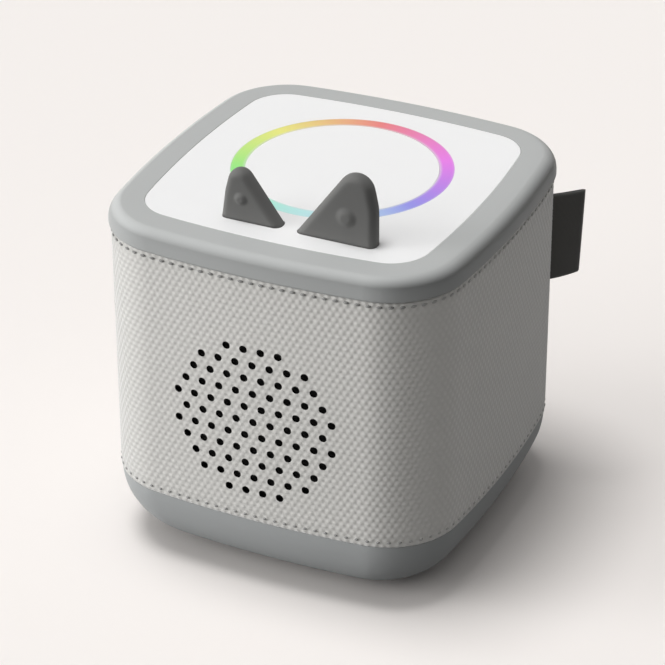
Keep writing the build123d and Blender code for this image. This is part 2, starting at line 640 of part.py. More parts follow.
def speaker_screws():
    length = BASKET_METAL + GASKET_THICKNESS + SPEAKER_SCREW_BITE
    return group([SPEAKER_PLACE * place * Pos(0, 0, -BASKET_METAL) * screw(length)
                  for place in speaker_screw_places()])


def speaker_grille():
    """Perforated disc that stiffens the fabric in front of the cone, curved like the wall."""
    grille = front_round(GRILLE_OPENING - SLIP, HOUSING_HALF, INSIDE_HALF)
    grille += front_round(GRILLE_RADIUS, HOUSING_HALF, HOUSING_HALF - GRILLE_LIP_DEPTH)
    return grille - perforations(GRILLE_HOLE_RADIUS)


def speaker_gasket():
    gasket = disc(BASKET_RADIUS, 0, GASKET_THICKNESS) - disc(BASKET_BORE, 0, GASKET_THICKNESS)
    return SPEAKER_PLACE * gasket - speaker_screw_holes()


def speaker_basket():
    """Pressed steel frame: flange, open ribs, rear ring and a terminal tab."""
    metal = BASKET_METAL
    rear = -BASKET_DEPTH
    basket = turned([
        (BASKET_BORE, 0), (BASKET_RADIUS, 0), (BASKET_RADIUS, -metal), (BASKET_BORE + metal, -metal),
        (BASKET_BORE + metal, -BASKET_COLLAR), (BASKET_REAR, rear - metal),
        (SPEAKER_MAGNET_BORE + metal, rear - metal), (SPEAKER_MAGNET_BORE + metal, rear),
        (BASKET_REAR - metal, rear), (BASKET_BORE, -BASKET_COLLAR)])
    outer = BASKET_RADIUS + metal
    window = disc(outer, rear + 2 * metal, -BASKET_COLLAR - metal) - disc(SPIDER_RADIUS + metal, rear, 0)
    for place in PolarLocations(0, BASKET_WINDOWS):
        window -= place * Pos(outer / 2, 0, 0) * block(outer, BASKET_RIB, rear, 0)
    basket -= window
    seat = -SPIDER_DEPTH - SURROUND_SKIN
    basket += disc(SPIDER_RADIUS + metal, rear, seat) - disc(SPIDER_RADIUS, rear, seat)
    width, skin, length = TERMINAL
    basket += block(width, skin, rear - length, rear, 0, -TERMINAL_FACE + skin / 2)
    return SPEAKER_PLACE * basket - speaker_screw_holes()


def speaker_surround():
    """Half-round rubber roll between the basket and the cone."""
    middle = (BASKET_BORE + CONE_RADIUS) / 2
    roll = Circle(SURROUND_ROLL) - Circle(SURROUND_ROLL - SURROUND_SKIN)
    roll &= Pos(0, SURROUND_ROLL / 2) * Rectangle(2 * SURROUND_ROLL, SURROUND_ROLL)
    seat = Pos(0, -SURROUND_SKIN)
    lip = Rectangle(SURROUND_SKIN, 3 * SURROUND_SKIN)
    edge = SURROUND_ROLL - SURROUND_SKIN / 2
    roll = seat * roll + Pos(-edge, -SURROUND_SKIN) * lip + Pos(edge, -SURROUND_SKIN) * lip
    return SPEAKER_PLACE * revolve(Plane.XZ * (Pos(middle, -SURROUND_ROLL) * roll), Axis.Z)


def speaker_cone():
    """Paper cone, drawn in to the voice coil."""
    rim = CONE_RADIUS - SLIP
    front = -SURROUND_ROLL - SURROUND_SKIN
    back = front - CONE_DEPTH
    return SPEAKER_PLACE * turned([
        (rim, front), (rim, front - CONE_SKIN), (COIL_RADIUS, back - CONE_SKIN), (COIL_RADIUS, back)])


def dust_cap():
    """Shallow dome over the voice coil."""
    front = -SURROUND_ROLL - SURROUND_SKIN
    base = front - CONE_DEPTH
    rise = COIL_RADIUS / 3
    ball = (COIL_RADIUS**2 + rise**2) / (2 * rise)
    shell = Sphere(ball) - Sphere(ball - CONE_SKIN)
    cap = Pos(0, 0, base + rise - ball) * shell
    return SPEAKER_PLACE * (cap & disc(COIL_RADIUS, base, base + rise))


def voice_coil():
    """Former with its winding in the magnet's gap."""
    front = -SURROUND_ROLL - SURROUND_SKIN - CONE_DEPTH
    coil = disc(COIL_RADIUS, front - COIL_LENGTH, front)
    coil -= disc(COIL_RADIUS - COIL_SKIN, front - COIL_LENGTH, front)
    low = MAGNET_FACE - CONE_TRAVEL
    high = WASHER_FACE + CONE_TRAVEL
    winding = disc(COIL_RADIUS + COIL_WINDING, low, high) - disc(COIL_RADIUS, low, high)
    return SPEAKER_PLACE * (coil + winding)


def speaker_spider():
    """Corrugated disc that centres the voice coil."""
    inner = COIL_RADIUS + SLIP
    step = (SPIDER_RADIUS - inner) / (2 * SPIDER_WAVES)
    wave = SURROUND_SKIN
    top = [(inner + i * step, -SPIDER_DEPTH + (wave if i % 2 else 0)) for i in range(2 * SPIDER_WAVES + 1)]
    top.append((SPIDER_RADIUS + SPIDER_RIM, -SPIDER_DEPTH))
    under = [(r, z - SURROUND_SKIN) for r, z in reversed(top)]
    return SPEAKER_PLACE * turned(top + under)


def speaker_washer():
    washer = disc(WASHER_RADIUS, MAGNET_FACE, WASHER_FACE) - disc(WASHER_BORE, MAGNET_FACE, WASHER_FACE)
    return SPEAKER_PLACE * washer


def speaker_magnet():
    ring = disc(SPEAKER_MAGNET_RADIUS, YOKE_FACE, MAGNET_FACE)
    ring = chamfer(ring.edges(), 0.4)
    return SPEAKER_PLACE * (ring - disc(SPEAKER_MAGNET_BORE, YOKE_FACE, MAGNET_FACE))


def speaker_yoke():
    """Rear plate with the pole that fills the voice coil."""
    yoke = disc(WASHER_RADIUS, YOKE_FACE - YOKE_THICKNESS, YOKE_FACE)
    yoke = chamfer(yoke.edges().group_by(Axis.Z)[0], 0.6)
    return SPEAKER_PLACE * (yoke + disc(POLE_RADIUS, YOKE_FACE, WASHER_FACE))


# ---------------------------------------------------------------- base and battery
def base_form(inset, floor):
    """Bowl that stands upright at the rim and rounds in to a flat underside."""
    sections = []
    for step in range(BASE_SECTIONS + 1):
        turn = math.pi / 2 * step / BASE_SECTIONS
        half = BASE_TOP_HALF - inset - BASE_CURVE_IN * (1 - math.cos(turn))
        corner = (BASE_CORNER - inset) * half / (BASE_TOP_HALF - inset)
        height = floor + (BASE_HEIGHT - floor) * (1 - math.sin(turn))
        sections.append(plan(half, corner, height))
    return loft(sections)


def door_outline(gap):
    face = Rectangle(2 * (DOOR_X - gap), 2 * (DOOR_Y - gap))
    face = fillet(face.vertices(), DOOR_CORNER)
    for side in (-1, 1):
        face += Pos(0, side * (DOOR_Y + DOOR_TAB_OUT)) * Circle(DOOR_TAB_RADIUS - gap)
    return face


def base_shell():
    """Soft grey lower tub with the battery door's opening, screw wells and foot recesses."""
    hollow = base_form(BASE_WALL, BASE_FLOOR)
    for x, y in corners(BASE_SCREW_PLACE):
        hollow -= disc(BASE_BOSS_RADIUS, FOOT_HEIGHT, HOUSING_LOW, x, y)
    for x, y in box_screw_places():
        hollow -= disc(LUG_RADIUS, FOOT_HEIGHT, LUG_LOW, x, y)
    base = base_form(0, FOOT_HEIGHT) - hollow
    base -= slab(HOUSING_HALF + SLIP, HOUSING_CORNER + SLIP, HOUSING_LOW, BASE_HEIGHT)
    for x, y in corners(BASE_SCREW_PLACE):
        base -= disc(SCREW_HEAD_RADIUS + DOOR_CLEARANCE, FOOT_HEIGHT, BASE_SCREW_SEAT, x, y)
        base -= disc(SCREW_RADIUS, BASE_SCREW_SEAT, HOUSING_LOW, x, y)
    for x, y in box_screw_places():
        base -= disc(SCREW_RADIUS, BASE_FLOOR, LUG_LOW, x, y)
    for x, y in corners(FOOT_PLACE):
        base -= disc(FOOT_RADIUS, FOOT_HEIGHT, FOOT_HEIGHT + FOOT_RECESS, x, y)
    return base - Pos(0, 0, FOOT_HEIGHT) * extrude(door_outline(0), amount=BASE_WALL)


def base_feet():
    feet = []
    for x, y in corners(FOOT_PLACE):
        foot = disc(FOOT_RADIUS, 0, FOOT_HEIGHT + FOOT_RECESS, x, y)
        feet.append(fillet(foot.edges().group_by(Axis.Z)[0], FOOT_HEIGHT / 3))
    return group(feet)


def door_screw_places():
    return [(0, side * (DOOR_Y + DOOR_TAB_OUT)) for side in (-1, 1)]


def battery_door():
    door = Pos(0, 0, FOOT_HEIGHT) * extrude(door_outline(DOOR_CLEARANCE), amount=BASE_WALL)
    seat = FOOT_HEIGHT + SCREW_HEAD_HEIGHT
    for x, y in door_screw_places():
        door -= disc(SCREW_HEAD_RADIUS + DOOR_CLEARANCE, FOOT_HEIGHT, seat, x, y)
        door -= disc(SCREW_RADIUS, seat, BASE_FLOOR, x, y)
    return door


def box_screw_places():
    return [(side * (BOX_X + LUG_OUT), 0) for side in (-1, 1)]


def battery_box():
    """Box over the cells, open towards the door, with lugs, screw bosses and board standoffs."""
    box = block(2 * BOX_X, 2 * BOX_Y, BASE_FLOOR, BOX_TOP)
    box -= block(2 * (BOX_X - BOX_WALL), 2 * (BOX_Y - BOX_WALL), BASE_FLOOR, BOX_TOP - BOX_WALL)
    boss_top = CELL_Z
    boss_radius = DOOR_TAB_RADIUS + BOX_WALL
    outside = block(4 * BOX_X, 4 * BOX_Y, BASE_FLOOR, boss_top) - block(2 * BOX_X, 2 * BOX_Y, 0, BOX_TOP)
    for x, y in door_screw_places():
        box += disc(boss_radius, BASE_FLOOR, boss_top, x, y) & outside
        box -= disc(SCREW_RADIUS, BASE_FLOOR, boss_top, x, y)
    for x, y in box_screw_places():
        lug = disc(LUG_RADIUS, LUG_LOW, LUG_LOW + LUG_THICKNESS, x, y)
        inward = math.copysign(LUG_OUT / 2, x)
        lug += block(LUG_OUT, 2 * LUG_RADIUS, LUG_LOW, LUG_LOW + LUG_THICKNESS, x - inward, y)
        box += lug - disc(SCREW_RADIUS, LUG_LOW, LUG_LOW + LUG_THICKNESS, x, y)
    for x, y in board_screw_places():
        box += disc(STANDOFF_RADIUS, BOX_TOP, BOARD_LOW, x, y)
        box -= disc(SCREW_RADIUS, BOX_TOP - BOX_WALL, BOARD_LOW, x, y)
    return box


def battery_cells():
    cells = []
    for side in (-1, 1):
        cell = turned([
            (0, 0), (CELL_RADIUS, 0), (CELL_RADIUS, CELL_LENGTH - CELL_NUB),
            (CELL_RADIUS / 3, CELL_LENGTH - CELL_NUB), (CELL_RADIUS / 3, CELL_LENGTH), (0, CELL_LENGTH)])
        cell = Rot(0, 90 * side, 0) * cell
        cells.append(Pos(-side * CELL_LENGTH / 2, side * CELL_Y, CELL_Z) * cell)
    return group(cells)


def battery_contacts():
    """Spring plate at each end of the cells."""
    inner = BOX_X - BOX_WALL
    plates = []
    for side in (-1, 1):
        place = side * (inner - CONTACT_SKIN / 2)
        low = CELL_Z - CONTACT_HEIGHT / 2
        plate = block(CONTACT_SKIN, 2 * CELL_Y + CONTACT_HEIGHT, low, low + CONTACT_HEIGHT, place)
        for y in (-CELL_Y, CELL_Y):
            bump = Cone(*CONTACT_BUMP, inner - CONTACT_SKIN - CELL_LENGTH / 2)
            middle = (inner - CONTACT_SKIN + CELL_LENGTH / 2) / 2
            plate += Pos(side * middle, y, CELL_Z) * Rot(0, -90 * side, 0) * bump
        plates.append(plate)
    return group(plates)


def box_screws():
    top = LUG_LOW + LUG_THICKNESS
    return group([Pos(x, y, top) * Rot(180, 0, 0) * screw(top - BASE_FLOOR) for x, y in box_screw_places()])


def base_screws():
    length = HOUSING_LOW + TAB_HEIGHT - BASE_SCREW_SEAT
    return group([Pos(x, y, BASE_SCREW_SEAT) * screw(length) for x, y in corners(BASE_SCREW_PLACE)])


def door_screws():
    seat = FOOT_HEIGHT + SCREW_HEAD_HEIGHT
    return group([Pos(x, y, seat) * screw(CELL_Z - seat) for x, y in door_screw_places()])


def frame_screws():
    length = LEDGE_LOW + LEDGE_THICKNESS / 2 - DECK_LOW
    return group([Pos(x, y, DECK_LOW) * screw(length) for x, y in corners(FRAME_SCREW_PLACE)])


# ---------------------------------------------------------------- electronics
def board_screw_places():
    return [(sx * STANDOFF_X, sy * STANDOFF_Y) for sx in (-1, 1) for sy in (-1, 1)]


def main_board():
    depth = BOARD_REAR_Y - BOARD_FRONT_Y
    board = block(BOARD_WIDTH, depth, BOARD_LOW, BOARD_TOP, 0, BOARD_FRONT_Y + depth / 2)
    board = fillet(board.edges().filter_by(Axis.Z), BOARD_CORNER)
    for x, y in board_screw_places():
        board -= disc(SCREW_RADIUS, BOARD_LOW, BOARD_TOP, x, y)
    return board


def board_screws():
    length = BOARD_TOP - BOX_TOP
    return group([Pos(x, y, BOARD_TOP) * Rot(180, 0, 0) * screw(length) for x, y in board_screw_places()])


def shield_can():
    width, depth, height = SHIELD
    can = block(width, depth, BOARD_TOP, BOARD_TOP + height, 0, SHIELD_Y)
    can = fillet(can.edges().filter_by(Axis.Z) + can.edges().group_by(Axis.Z)[-1], SHIELD_SKIN)
    skin = SHIELD_SKIN
    return can - block(width - 2 * skin, depth - 2 * skin, BOARD_TOP, BOARD_TOP + height - skin, 0, SHIELD_Y)


def board_components():
    """Chips beside and behind the shield can, and two pairs of storage capacitors."""
    chips = [(CHIP, -CHIP_X, CHIP_Y), (CHIP, CHIP_X, CHIP_Y)]
    chips += [(SMALL_CHIP, 0, CHIP_Y + CHIP[1] / 2), (SMALL_CHIP, CHIP_X, SHIELD_Y - CHIP_GAP)]
    parts = [block(w, d, BOARD_TOP, BOARD_TOP + h, x, y) for (w, d, h), x, y in chips]
    places = [(-CHIP_X, STANDOFF_Y - CAPACITOR_PITCH), (-CHIP_X, STANDOFF_Y - 2 * CAPACITOR_PITCH)]
    behind = CHIP_Y + CHIP[1] / 2 + CHIP_GAP
    places += [(CHIP_X, behind), (CHIP_X + CAPACITOR_PITCH, behind)]
    for x, y in places:
        parts.append(disc(CAPACITOR_RADIUS, BOARD_TOP, BOARD_TOP + CAPACITOR_HEIGHT, x, y))
    return group(parts)


def connector_places():
    """Top of each lead's connector on the board."""
    front = BOARD_FRONT_Y + CONNECTOR_INSET
    rear = CHIP_Y + CHIP[1] / 2 + CHIP_GAP
    return {"battery": (-STANDOFF_X / 2 - CONNECTOR_INSET, front),
            "speaker": (TERMINAL[0] / 3 + LEAD_SIDESTEP, front),
            "lights": (-STANDOFF_X, rear)}


def board_connectors():
    width, depth, height = CONNECTOR
    return group([block(width, depth, BOARD_TOP, BOARD_TOP + height, x, y)
                  for x, y in connector_places().values()])


def headphone_jack():
    """Socket for a 3.5 mm plug. Its nose ends flush with the fabric at the rear."""
    width, depth, height = JACK_BODY
    body_end = INSIDE_HALF - HOUSING_WALL
    jack = block(width, depth, BOARD_TOP, BOARD_TOP + height, -PORT_X, body_end - depth / 2)
    rear = Plane.XZ.offset(-PORT_FACE_Y)
    jack += extrude(rear * Pos(-PORT_X, PORT_Z) * Circle(JACK_NOSE_RADIUS), amount=PORT_FACE_Y - body_end)
    return jack - extrude(rear * Pos(-PORT_X, PORT_Z) * Circle(JACK_BORE_RADIUS), amount=JACK_BORE_DEPTH)


def usb_c_socket():
    """Charging socket: pressed shell, tongue and the plinth that lifts it off the board."""
    rear = Plane.XZ.offset(-PORT_FACE_Y)
    place = rear * Pos(PORT_X, PORT_Z)
    length = USB_DEPTH + USB_BACK
    shell = extrude(place * SlotOverall(USB_WIDTH, USB_HEIGHT), amount=length)
    opening = SlotOverall(USB_WIDTH - 2 * USB_SKIN, USB_HEIGHT - 2 * USB_SKIN)
    shell -= extrude(place * opening, amount=USB_DEPTH)
    tongue_place = Plane.XZ.offset(-PORT_FACE_Y + USB_BACK) * Pos(PORT_X, PORT_Z)
    shell += extrude(tongue_place * Rectangle(*USB_TONGUE), amount=USB_DEPTH - USB_BACK + SLIP)
    depth = BOARD_REAR_Y - (PORT_FACE_Y - length)
    plinth_y = BOARD_REAR_Y - depth / 2
    plinth = block(USB_WIDTH - USB_HEIGHT, depth, BOARD_TOP, PORT_Z - USB_HEIGHT / 2, PORT_X, plinth_y)
    return shell + plinth


def lead(points, bend):
    """Round wire along straight runs joined by arcs."""
    path = FilletPolyline(*points, radius=bend)
    start = Plane(path @ 0, z_dir=path % 0)
    return sweep(start * Circle(LEAD_RADIUS), path=path)


def battery_lead():
    x, y = connector_places()["battery"]
    out = -BOX_Y - LEAD_CLEAR
    top = BOARD_TOP + CONNECTOR[2]
    over = top + LEAD_CLEAR
    run = [(x, -BOX_Y, CELL_Z), (x, out, CELL_Z), (x, out, over), (x, y, over), (x, y, top)]
    return lead(run, BATTERY_LEAD_BEND)


def speaker_lead():
    x, y = connector_places()["speaker"]
    tab_x = TERMINAL[0] / 3
    tab_y = SPEAKER_FLANGE_Y + BASKET_DEPTH + TERMINAL[2] / 2
    top = BOARD_TOP + CONNECTOR[2]
    over = top + LEAD_RISE
    run = [(tab_x, tab_y, SPEAKER_Z - TERMINAL_FACE), (tab_x, tab_y, over), (x, y, over), (x, y, top)]
    return lead(run, SPEAKER_LEAD_BEND)


def lights_lead():
    x, y = connector_places()["lights"]
    hole_x = -RING_MIDDLE
    run = [(hole_x, RING_Y, DECK_TOP), (hole_x, RING_Y, DECK_LOW - LEAD_DROP),
           (x, y, BOARD_TOP + LEAD_DROP), (x, y, BOARD_TOP + CONNECTOR[2])]
    return lead(run, LIGHTS_LEAD_BEND)


# ---------------------------------------------------------------- all pieces, one STEP file each
PIECES = {
    "top_frame": top_frame(),
    "top_plate": top_plate(),
    "figure_disc": figure_disc(),
    "light_ring": light_ring(),
    "light_baffle": light_baffle(),
    "led_board": led_board(),
    "leds": leds(),
    "nfc_antenna": nfc_antenna(),
    "figure_magnet": figure_magnet(),
    "magnet_holder": magnet_holder(),
    "ear_cover_large": ear_cover(LARGE_EAR, LARGE_PAD),
    "ear_cover_small": ear_cover(SMALL_EAR, SMALL_PAD),
    "ear_core_large": ear_core(LARGE_EAR, LARGE_PAD),
    "ear_core_small": ear_core(SMALL_EAR, SMALL_PAD),
    "ear_switch_large": ear_switch(LARGE_PAD),
    "ear_switch_small": ear_switch(SMALL_PAD),
    "volume_up_pad": volume_pad(LARGE_PAD),
    "volume_down_pad": volume_pad(SMALL_PAD),
    "ear_screws": ear_screws(),
    "core_housing": core_housing(),
    "fabric_sleeve": fabric_sleeve(),
    "corner_label": corner_label(),
    "speaker_grille": speaker_grille(),
    "speaker_gasket": speaker_gasket(),
    "speaker_basket": speaker_basket(),
    "speaker_surround": speaker_surround(),
    "speaker_cone": speaker_cone(),
    "dust_cap": dust_cap(),
    "voice_coil": voice_coil(),
    "speaker_spider": speaker_spider(),
    "speaker_washer": speaker_washer(),
    "speaker_magnet": speaker_magnet(),
    "speaker_yoke": speaker_yoke(),
    "speaker_screws": speaker_screws(),
    "base_shell": base_shell(),
    "base_feet": base_feet(),
    "base_screws": base_screws(),
    "battery_door": battery_door(),
    "door_screws": door_screws(),
    "battery_box": battery_box(),
    "box_screws": box_screws(),
    "battery_cells": battery_cells(),
    "battery_contacts": battery_contacts(),
    "frame_screws": frame_screws(),
    "main_board": main_board(),
    "board_screws": board_screws(),
    "shield_can": shield_can(),
    "board_components": board_components(),
    "board_connectors": board_connectors(),
    "headphone_jack": headphone_jack(),
    "usb_c_socket": usb_c_socket(),
    "battery_lead": battery_lead(),
    "speaker_lead": speaker_lead(),
    "lights_lead": lights_lead(),
}

os.makedirs("parts", exist_ok=True)
for name, piece in PIECES.items():
    export_step(piece, f"parts/{name}.step")
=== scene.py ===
import json
import math

import bmesh
import bpy
from mathutils import Matrix, Vector

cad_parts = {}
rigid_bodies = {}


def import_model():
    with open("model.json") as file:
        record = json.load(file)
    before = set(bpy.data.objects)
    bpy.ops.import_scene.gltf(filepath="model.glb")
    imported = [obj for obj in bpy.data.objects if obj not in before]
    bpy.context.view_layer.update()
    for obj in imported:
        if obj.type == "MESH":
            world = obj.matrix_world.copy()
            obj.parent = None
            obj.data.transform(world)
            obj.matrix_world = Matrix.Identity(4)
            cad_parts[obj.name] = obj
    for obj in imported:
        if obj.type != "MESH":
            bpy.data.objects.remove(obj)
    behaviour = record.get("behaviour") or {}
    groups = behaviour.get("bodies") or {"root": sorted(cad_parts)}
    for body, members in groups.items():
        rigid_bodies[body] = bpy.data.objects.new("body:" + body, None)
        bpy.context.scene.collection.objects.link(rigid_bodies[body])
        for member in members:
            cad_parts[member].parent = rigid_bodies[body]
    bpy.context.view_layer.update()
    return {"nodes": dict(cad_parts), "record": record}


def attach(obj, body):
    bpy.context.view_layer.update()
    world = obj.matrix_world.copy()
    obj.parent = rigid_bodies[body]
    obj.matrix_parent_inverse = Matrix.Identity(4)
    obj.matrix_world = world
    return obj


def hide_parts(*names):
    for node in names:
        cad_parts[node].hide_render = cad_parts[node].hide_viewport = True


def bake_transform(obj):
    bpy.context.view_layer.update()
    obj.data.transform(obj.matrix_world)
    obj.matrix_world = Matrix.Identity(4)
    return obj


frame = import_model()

MM = 0.001
NODES = frame["nodes"]

# ---------------------------------------------------------------- sizes of the player, in millimetres
SIDE_CENTRE = 288.9         # centre of each side's soft bulge, beyond the axis
SLEEVE_HALF = 60.3
SLEEVE_CORNER = 24.7
SLEEVE_LOW = 24.5
SLEEVE_HIGH = 111.5
SLEEVE_EDGE = 0.7
PLATE_FACE = 119.0
SPEAKER_Z = 61.0
FIELD_RADIUS = 29.0         # of the perforations
HOLE_PITCH = 5.85
HOLE_RADIUS = 1.3
RING_Y = 4.9
RING_OUTER = 35.3
RING_INNER = 30.8
PORT_X = 15.0
PORT_Z = 32.2
JACK_RADIUS = 3.5
USB_SIZE = (9.14, 3.46)

# Cloth. Shares of the girth count from the seam in the rear right corner, anticlockwise
REAR_SHARE = 0.125
FRONT_SHARE = 0.625
WEAVE_COLUMNS = 364         # half a bead each, round the body
WEAVE_ROWS = 90             # half a row of beads each
WEAVE_RELIEF = 0.085
BEAD_SHARE = 0.6            # of the relief is the beads', the rest is the rows'
SWELL = 0.10                # slow waves of the stretched cloth
HEM_ROWS = 2
HEM_TURN = 1.2
CLOTH_THICKNESS = 0.9
CLOTH_CREASE = 55           # degrees, sharper edges are shaded sharp
HOLE_MARGIN = 0.2
STITCH_COUNT = 124
UPPER_STITCH = (1.9, 1.0, 0.6)
LOWER_STITCH = (1.3, 0.9, 0.6)
UPPER_STITCH_Z = SLEEVE_HIGH - 1.7
LOWER_STITCH_Z = SLEEVE_LOW + 2.0
STITCH_LIFT = 0.10
STITCH_SLANT = 6            # degrees
STITCH_PULL = 0.30          # depth of the groove that a row pulls into the cloth
STITCH_PUCKER = 0.25        # share of the pull that comes and goes with each stitch
STITCH_SPREAD = 0.75
SEAM_DEPTH = 0.75
SEAM_WIDTH = 0.8

# Ears
EAR_FRONT_Y = -41.1
EAR_THICKNESS = 5.8
EAR_EDGE = 2.3
EAR_SLOPE = 54.0            # degrees, of the side towards the other ear
EAR_ROOT = 2.0              # how far the skin goes down into its slot
EAR_NECK = 0.93             # share of the thickness that is left in the slot
EAR_NECK_TOP = 0.5
EAR_VOXEL = 0.32
KNEE_ROUND = 18.0
ARC_STEPS = 12
LARGE_EAR = {"inner": 5.5, "outer": 31.8, "lean": 0.0, "knee": 12.0, "upper_lean": 12.4, "tip": 5.7}
SMALL_EAR = {"inner": 0.3, "outer": -19.9, "lean": 8.0, "knee": 9.0, "upper_lean": 14.5, "tip": 3.9}
LARGE_PAD = {"x": 22.6, "above": 8.8, "radius": 3.2}
SMALL_PAD = {"x": -12.6, "above": 7.5, "radius": 2.15}
PAD_DOME = 0.8
PAD_REACH = 1.15            # of the dome, in pad radii
PAD_FLAT = 0.30             # share of the dome's reach that is nearly flat

# Label
LABEL_HEIGHT = 31.0
LABEL_TOP = PLATE_FACE - 20.3
LABEL_REACH = 13.6
LABEL_ROOT = 2.0
LABEL_HALF_THICKNESS = 0.42
LABEL_TAPE = 0.36
LABEL_BOW = 0.35
LABEL_SWING = 2.0           # degrees, of the top edge
LABEL_TWIST = 8.0           # degrees, from the top edge to the bottom edge
LABEL_COLUMNS = 34
LABEL_ROWS = 30

# Camera and floor, in metres
CAMERA_PLACE = (0.34909, -0.74234, 0.53197)
CAMERA_RIGHT = (0.9049, 0.4257, -0.0023)
CAMERA_BACK = (0.3703, -0.7845, 0.4974)
CAMERA_LENS = 158.2
FLOOR_HALF = 4.0

# Colours, linear
FRAME_GREY = (0.460, 0.470, 0.465)
BASE_GREY = (0.455, 0.468, 0.468)
PLATE_WHITE = (0.86, 0.86, 0.86)
CLOTH = (0.645, 0.635, 0.605)
EAR_GREY = (0.145, 0.145, 0.141)
THREAD_GREY = (0.33, 0.33, 0.32)
# Painted light: the thread's colour on the +X side, paler to stand in for how the light falls on the
# stitches there
THREAD_PAINTED_LIGHT = (0.55, 0.54, 0.52)
LABEL_BLACK = (0.070, 0.069, 0.065)
PALE = (0.913, 0.871, 0.843)
FLOOR_BOUNCE = (0.22, 0.22, 0.22)
RING_SATURATION = 0.73      # of the hue wheel
RING_VALUE = 0.82
RING_RED = 0.258            # share of a turn, anticlockwise from +X, where the hue wheel is red
RING_PALE = 0.787           # share of a turn where it is palest
RING_PALE_WIDTH = 0.125     # share of a turn from there to where a third of the paleness is left
RING_PALE_DEPTH = 0.37      # saturation lost where it is palest
# White haze across the ring, from its inner edge to its outer one
RING_HAZE = [(0.0, 0.55), (0.10, 0.25), (0.22, 0.0), (0.85, 0.0), (0.93, 0.10), (1.0, 0.30)]


# ---------------------------------------------------------------- camera, lamps, floor
def set_camera():
    """Looks down on the front right corner from nearly a metre away."""
    right = Vector(CAMERA_RIGHT).normalized()
    back = Vector(CAMERA_BACK).normalized()
    up = back.cross(right).normalized()
    right = up.cross(back)
    data = bpy.data.cameras.new("camera")
    data.lens = CAMERA_LENS
    data.sensor_width = 36.0
    data.sensor_fit = "HORIZONTAL"
    data.clip_start = 0.01
    camera = bpy.data.objects.new("camera", data)
    bpy.context.scene.collection.objects.link(camera)
    turn = Matrix((right, up, back)).transposed().to_4x4()
    camera.matrix_world = Matrix.Translation(CAMERA_PLACE) @ turn
    bpy.context.scene.camera = camera


def sun(name, towards, strength, spread):
    """Soft lamp far away, in the direction towards. Spread is its width in degrees."""
    data = bpy.data.lights.new(name, "SUN")
    data.energy = strength
    data.angle = math.radians(spread)
    lamp = bpy.data.objects.new(name, data)
    bpy.context.scene.collection.objects.link(lamp)
    lamp.rotation_euler = Vector(towards).to_track_quat("Z", "Y").to_euler()


def set_world():
    """Even studio light, with a pale backdrop where the camera or a gloss looks past the floor."""
    world = bpy.data.worlds.new("studio")
    world.use_nodes = True
    tree = world.node_tree
    tree.nodes.clear()
    out = tree.nodes.new("ShaderNodeOutputWorld")
    fill = tree.nodes.new("ShaderNodeBackground")
    fill.inputs["Color"].default_value = (1, 1, 1, 1)
    fill.inputs["Strength"].default_value = 0.01
    backdrop = tree.nodes.new("ShaderNodeBackground")
    backdrop.inputs["Color"].default_value = (*PALE, 1)
    backdrop.inputs["Strength"].default_value = 1.0
    path = tree.nodes.new("ShaderNodeLightPath")
    seen = tree.nodes.new("ShaderNodeMath")
    seen.operation = "MAXIMUM"
    glossy = tree.nodes.new("ShaderNodeMath")
    glossy.operation = "MAXIMUM"
    tree.links.new(path.outputs["Is Glossy Ray"], glossy.inputs[0])
    tree.links.new(path.outputs["Is Transmission Ray"], glossy.inputs[1])
    tree.links.new(path.outputs["Is Camera Ray"], seen.inputs[0])
    tree.links.new(glossy.outputs[0], seen.inputs[1])
    mix = tree.nodes.new("ShaderNodeMixShader")
    tree.links.new(seen.outputs[0], mix.inputs[0])
    tree.links.new(fill.outputs[0], mix.inputs[1])
    tree.links.new(backdrop.outputs[0], mix.inputs[2])
    tree.links.new(mix.outputs[0], out.inputs["Surface"])
    bpy.context.scene.world = world


def set_floor():
    """Plain pale floor under the player's feet."""
    made = bmesh.new()
    bmesh.ops.create_grid(made, x_segments=8, y_segments=8, size=FLOOR_HALF)
    floor = finished("floor", made, [matte_paper()])


# ---------------------------------------------------------------- making pieces
def finished(name, made, materials):
    """Turns a bmesh in metres into an object at the origin, shaded smooth."""
    mesh = bpy.data.meshes.new(name)
    made.to_mesh(mesh)
    made.free()
    piece = bpy.data.objects.new(name, mesh)
    bpy.context.scene.collection.objects.link(piece)
    for material in materials:
        mesh.materials.append(material)
    mesh.polygons.foreach_set("use_smooth", [True] * len(mesh.polygons))
    return piece


def apply_modifiers(piece):
    """Gives the piece the mesh that its modifiers show."""
    bpy.context.view_layer.update()
    shown = piece.evaluated_get(bpy.context.evaluated_depsgraph_get())
    mesh = bpy.data.meshes.new_from_object(shown)
    piece.modifiers.clear()
    piece.data = mesh


def to_metres(made):
    """Scales a bmesh drawn in millimetres."""
    bmesh.ops.scale(made, vec=(MM, MM, MM), verts=made.verts)


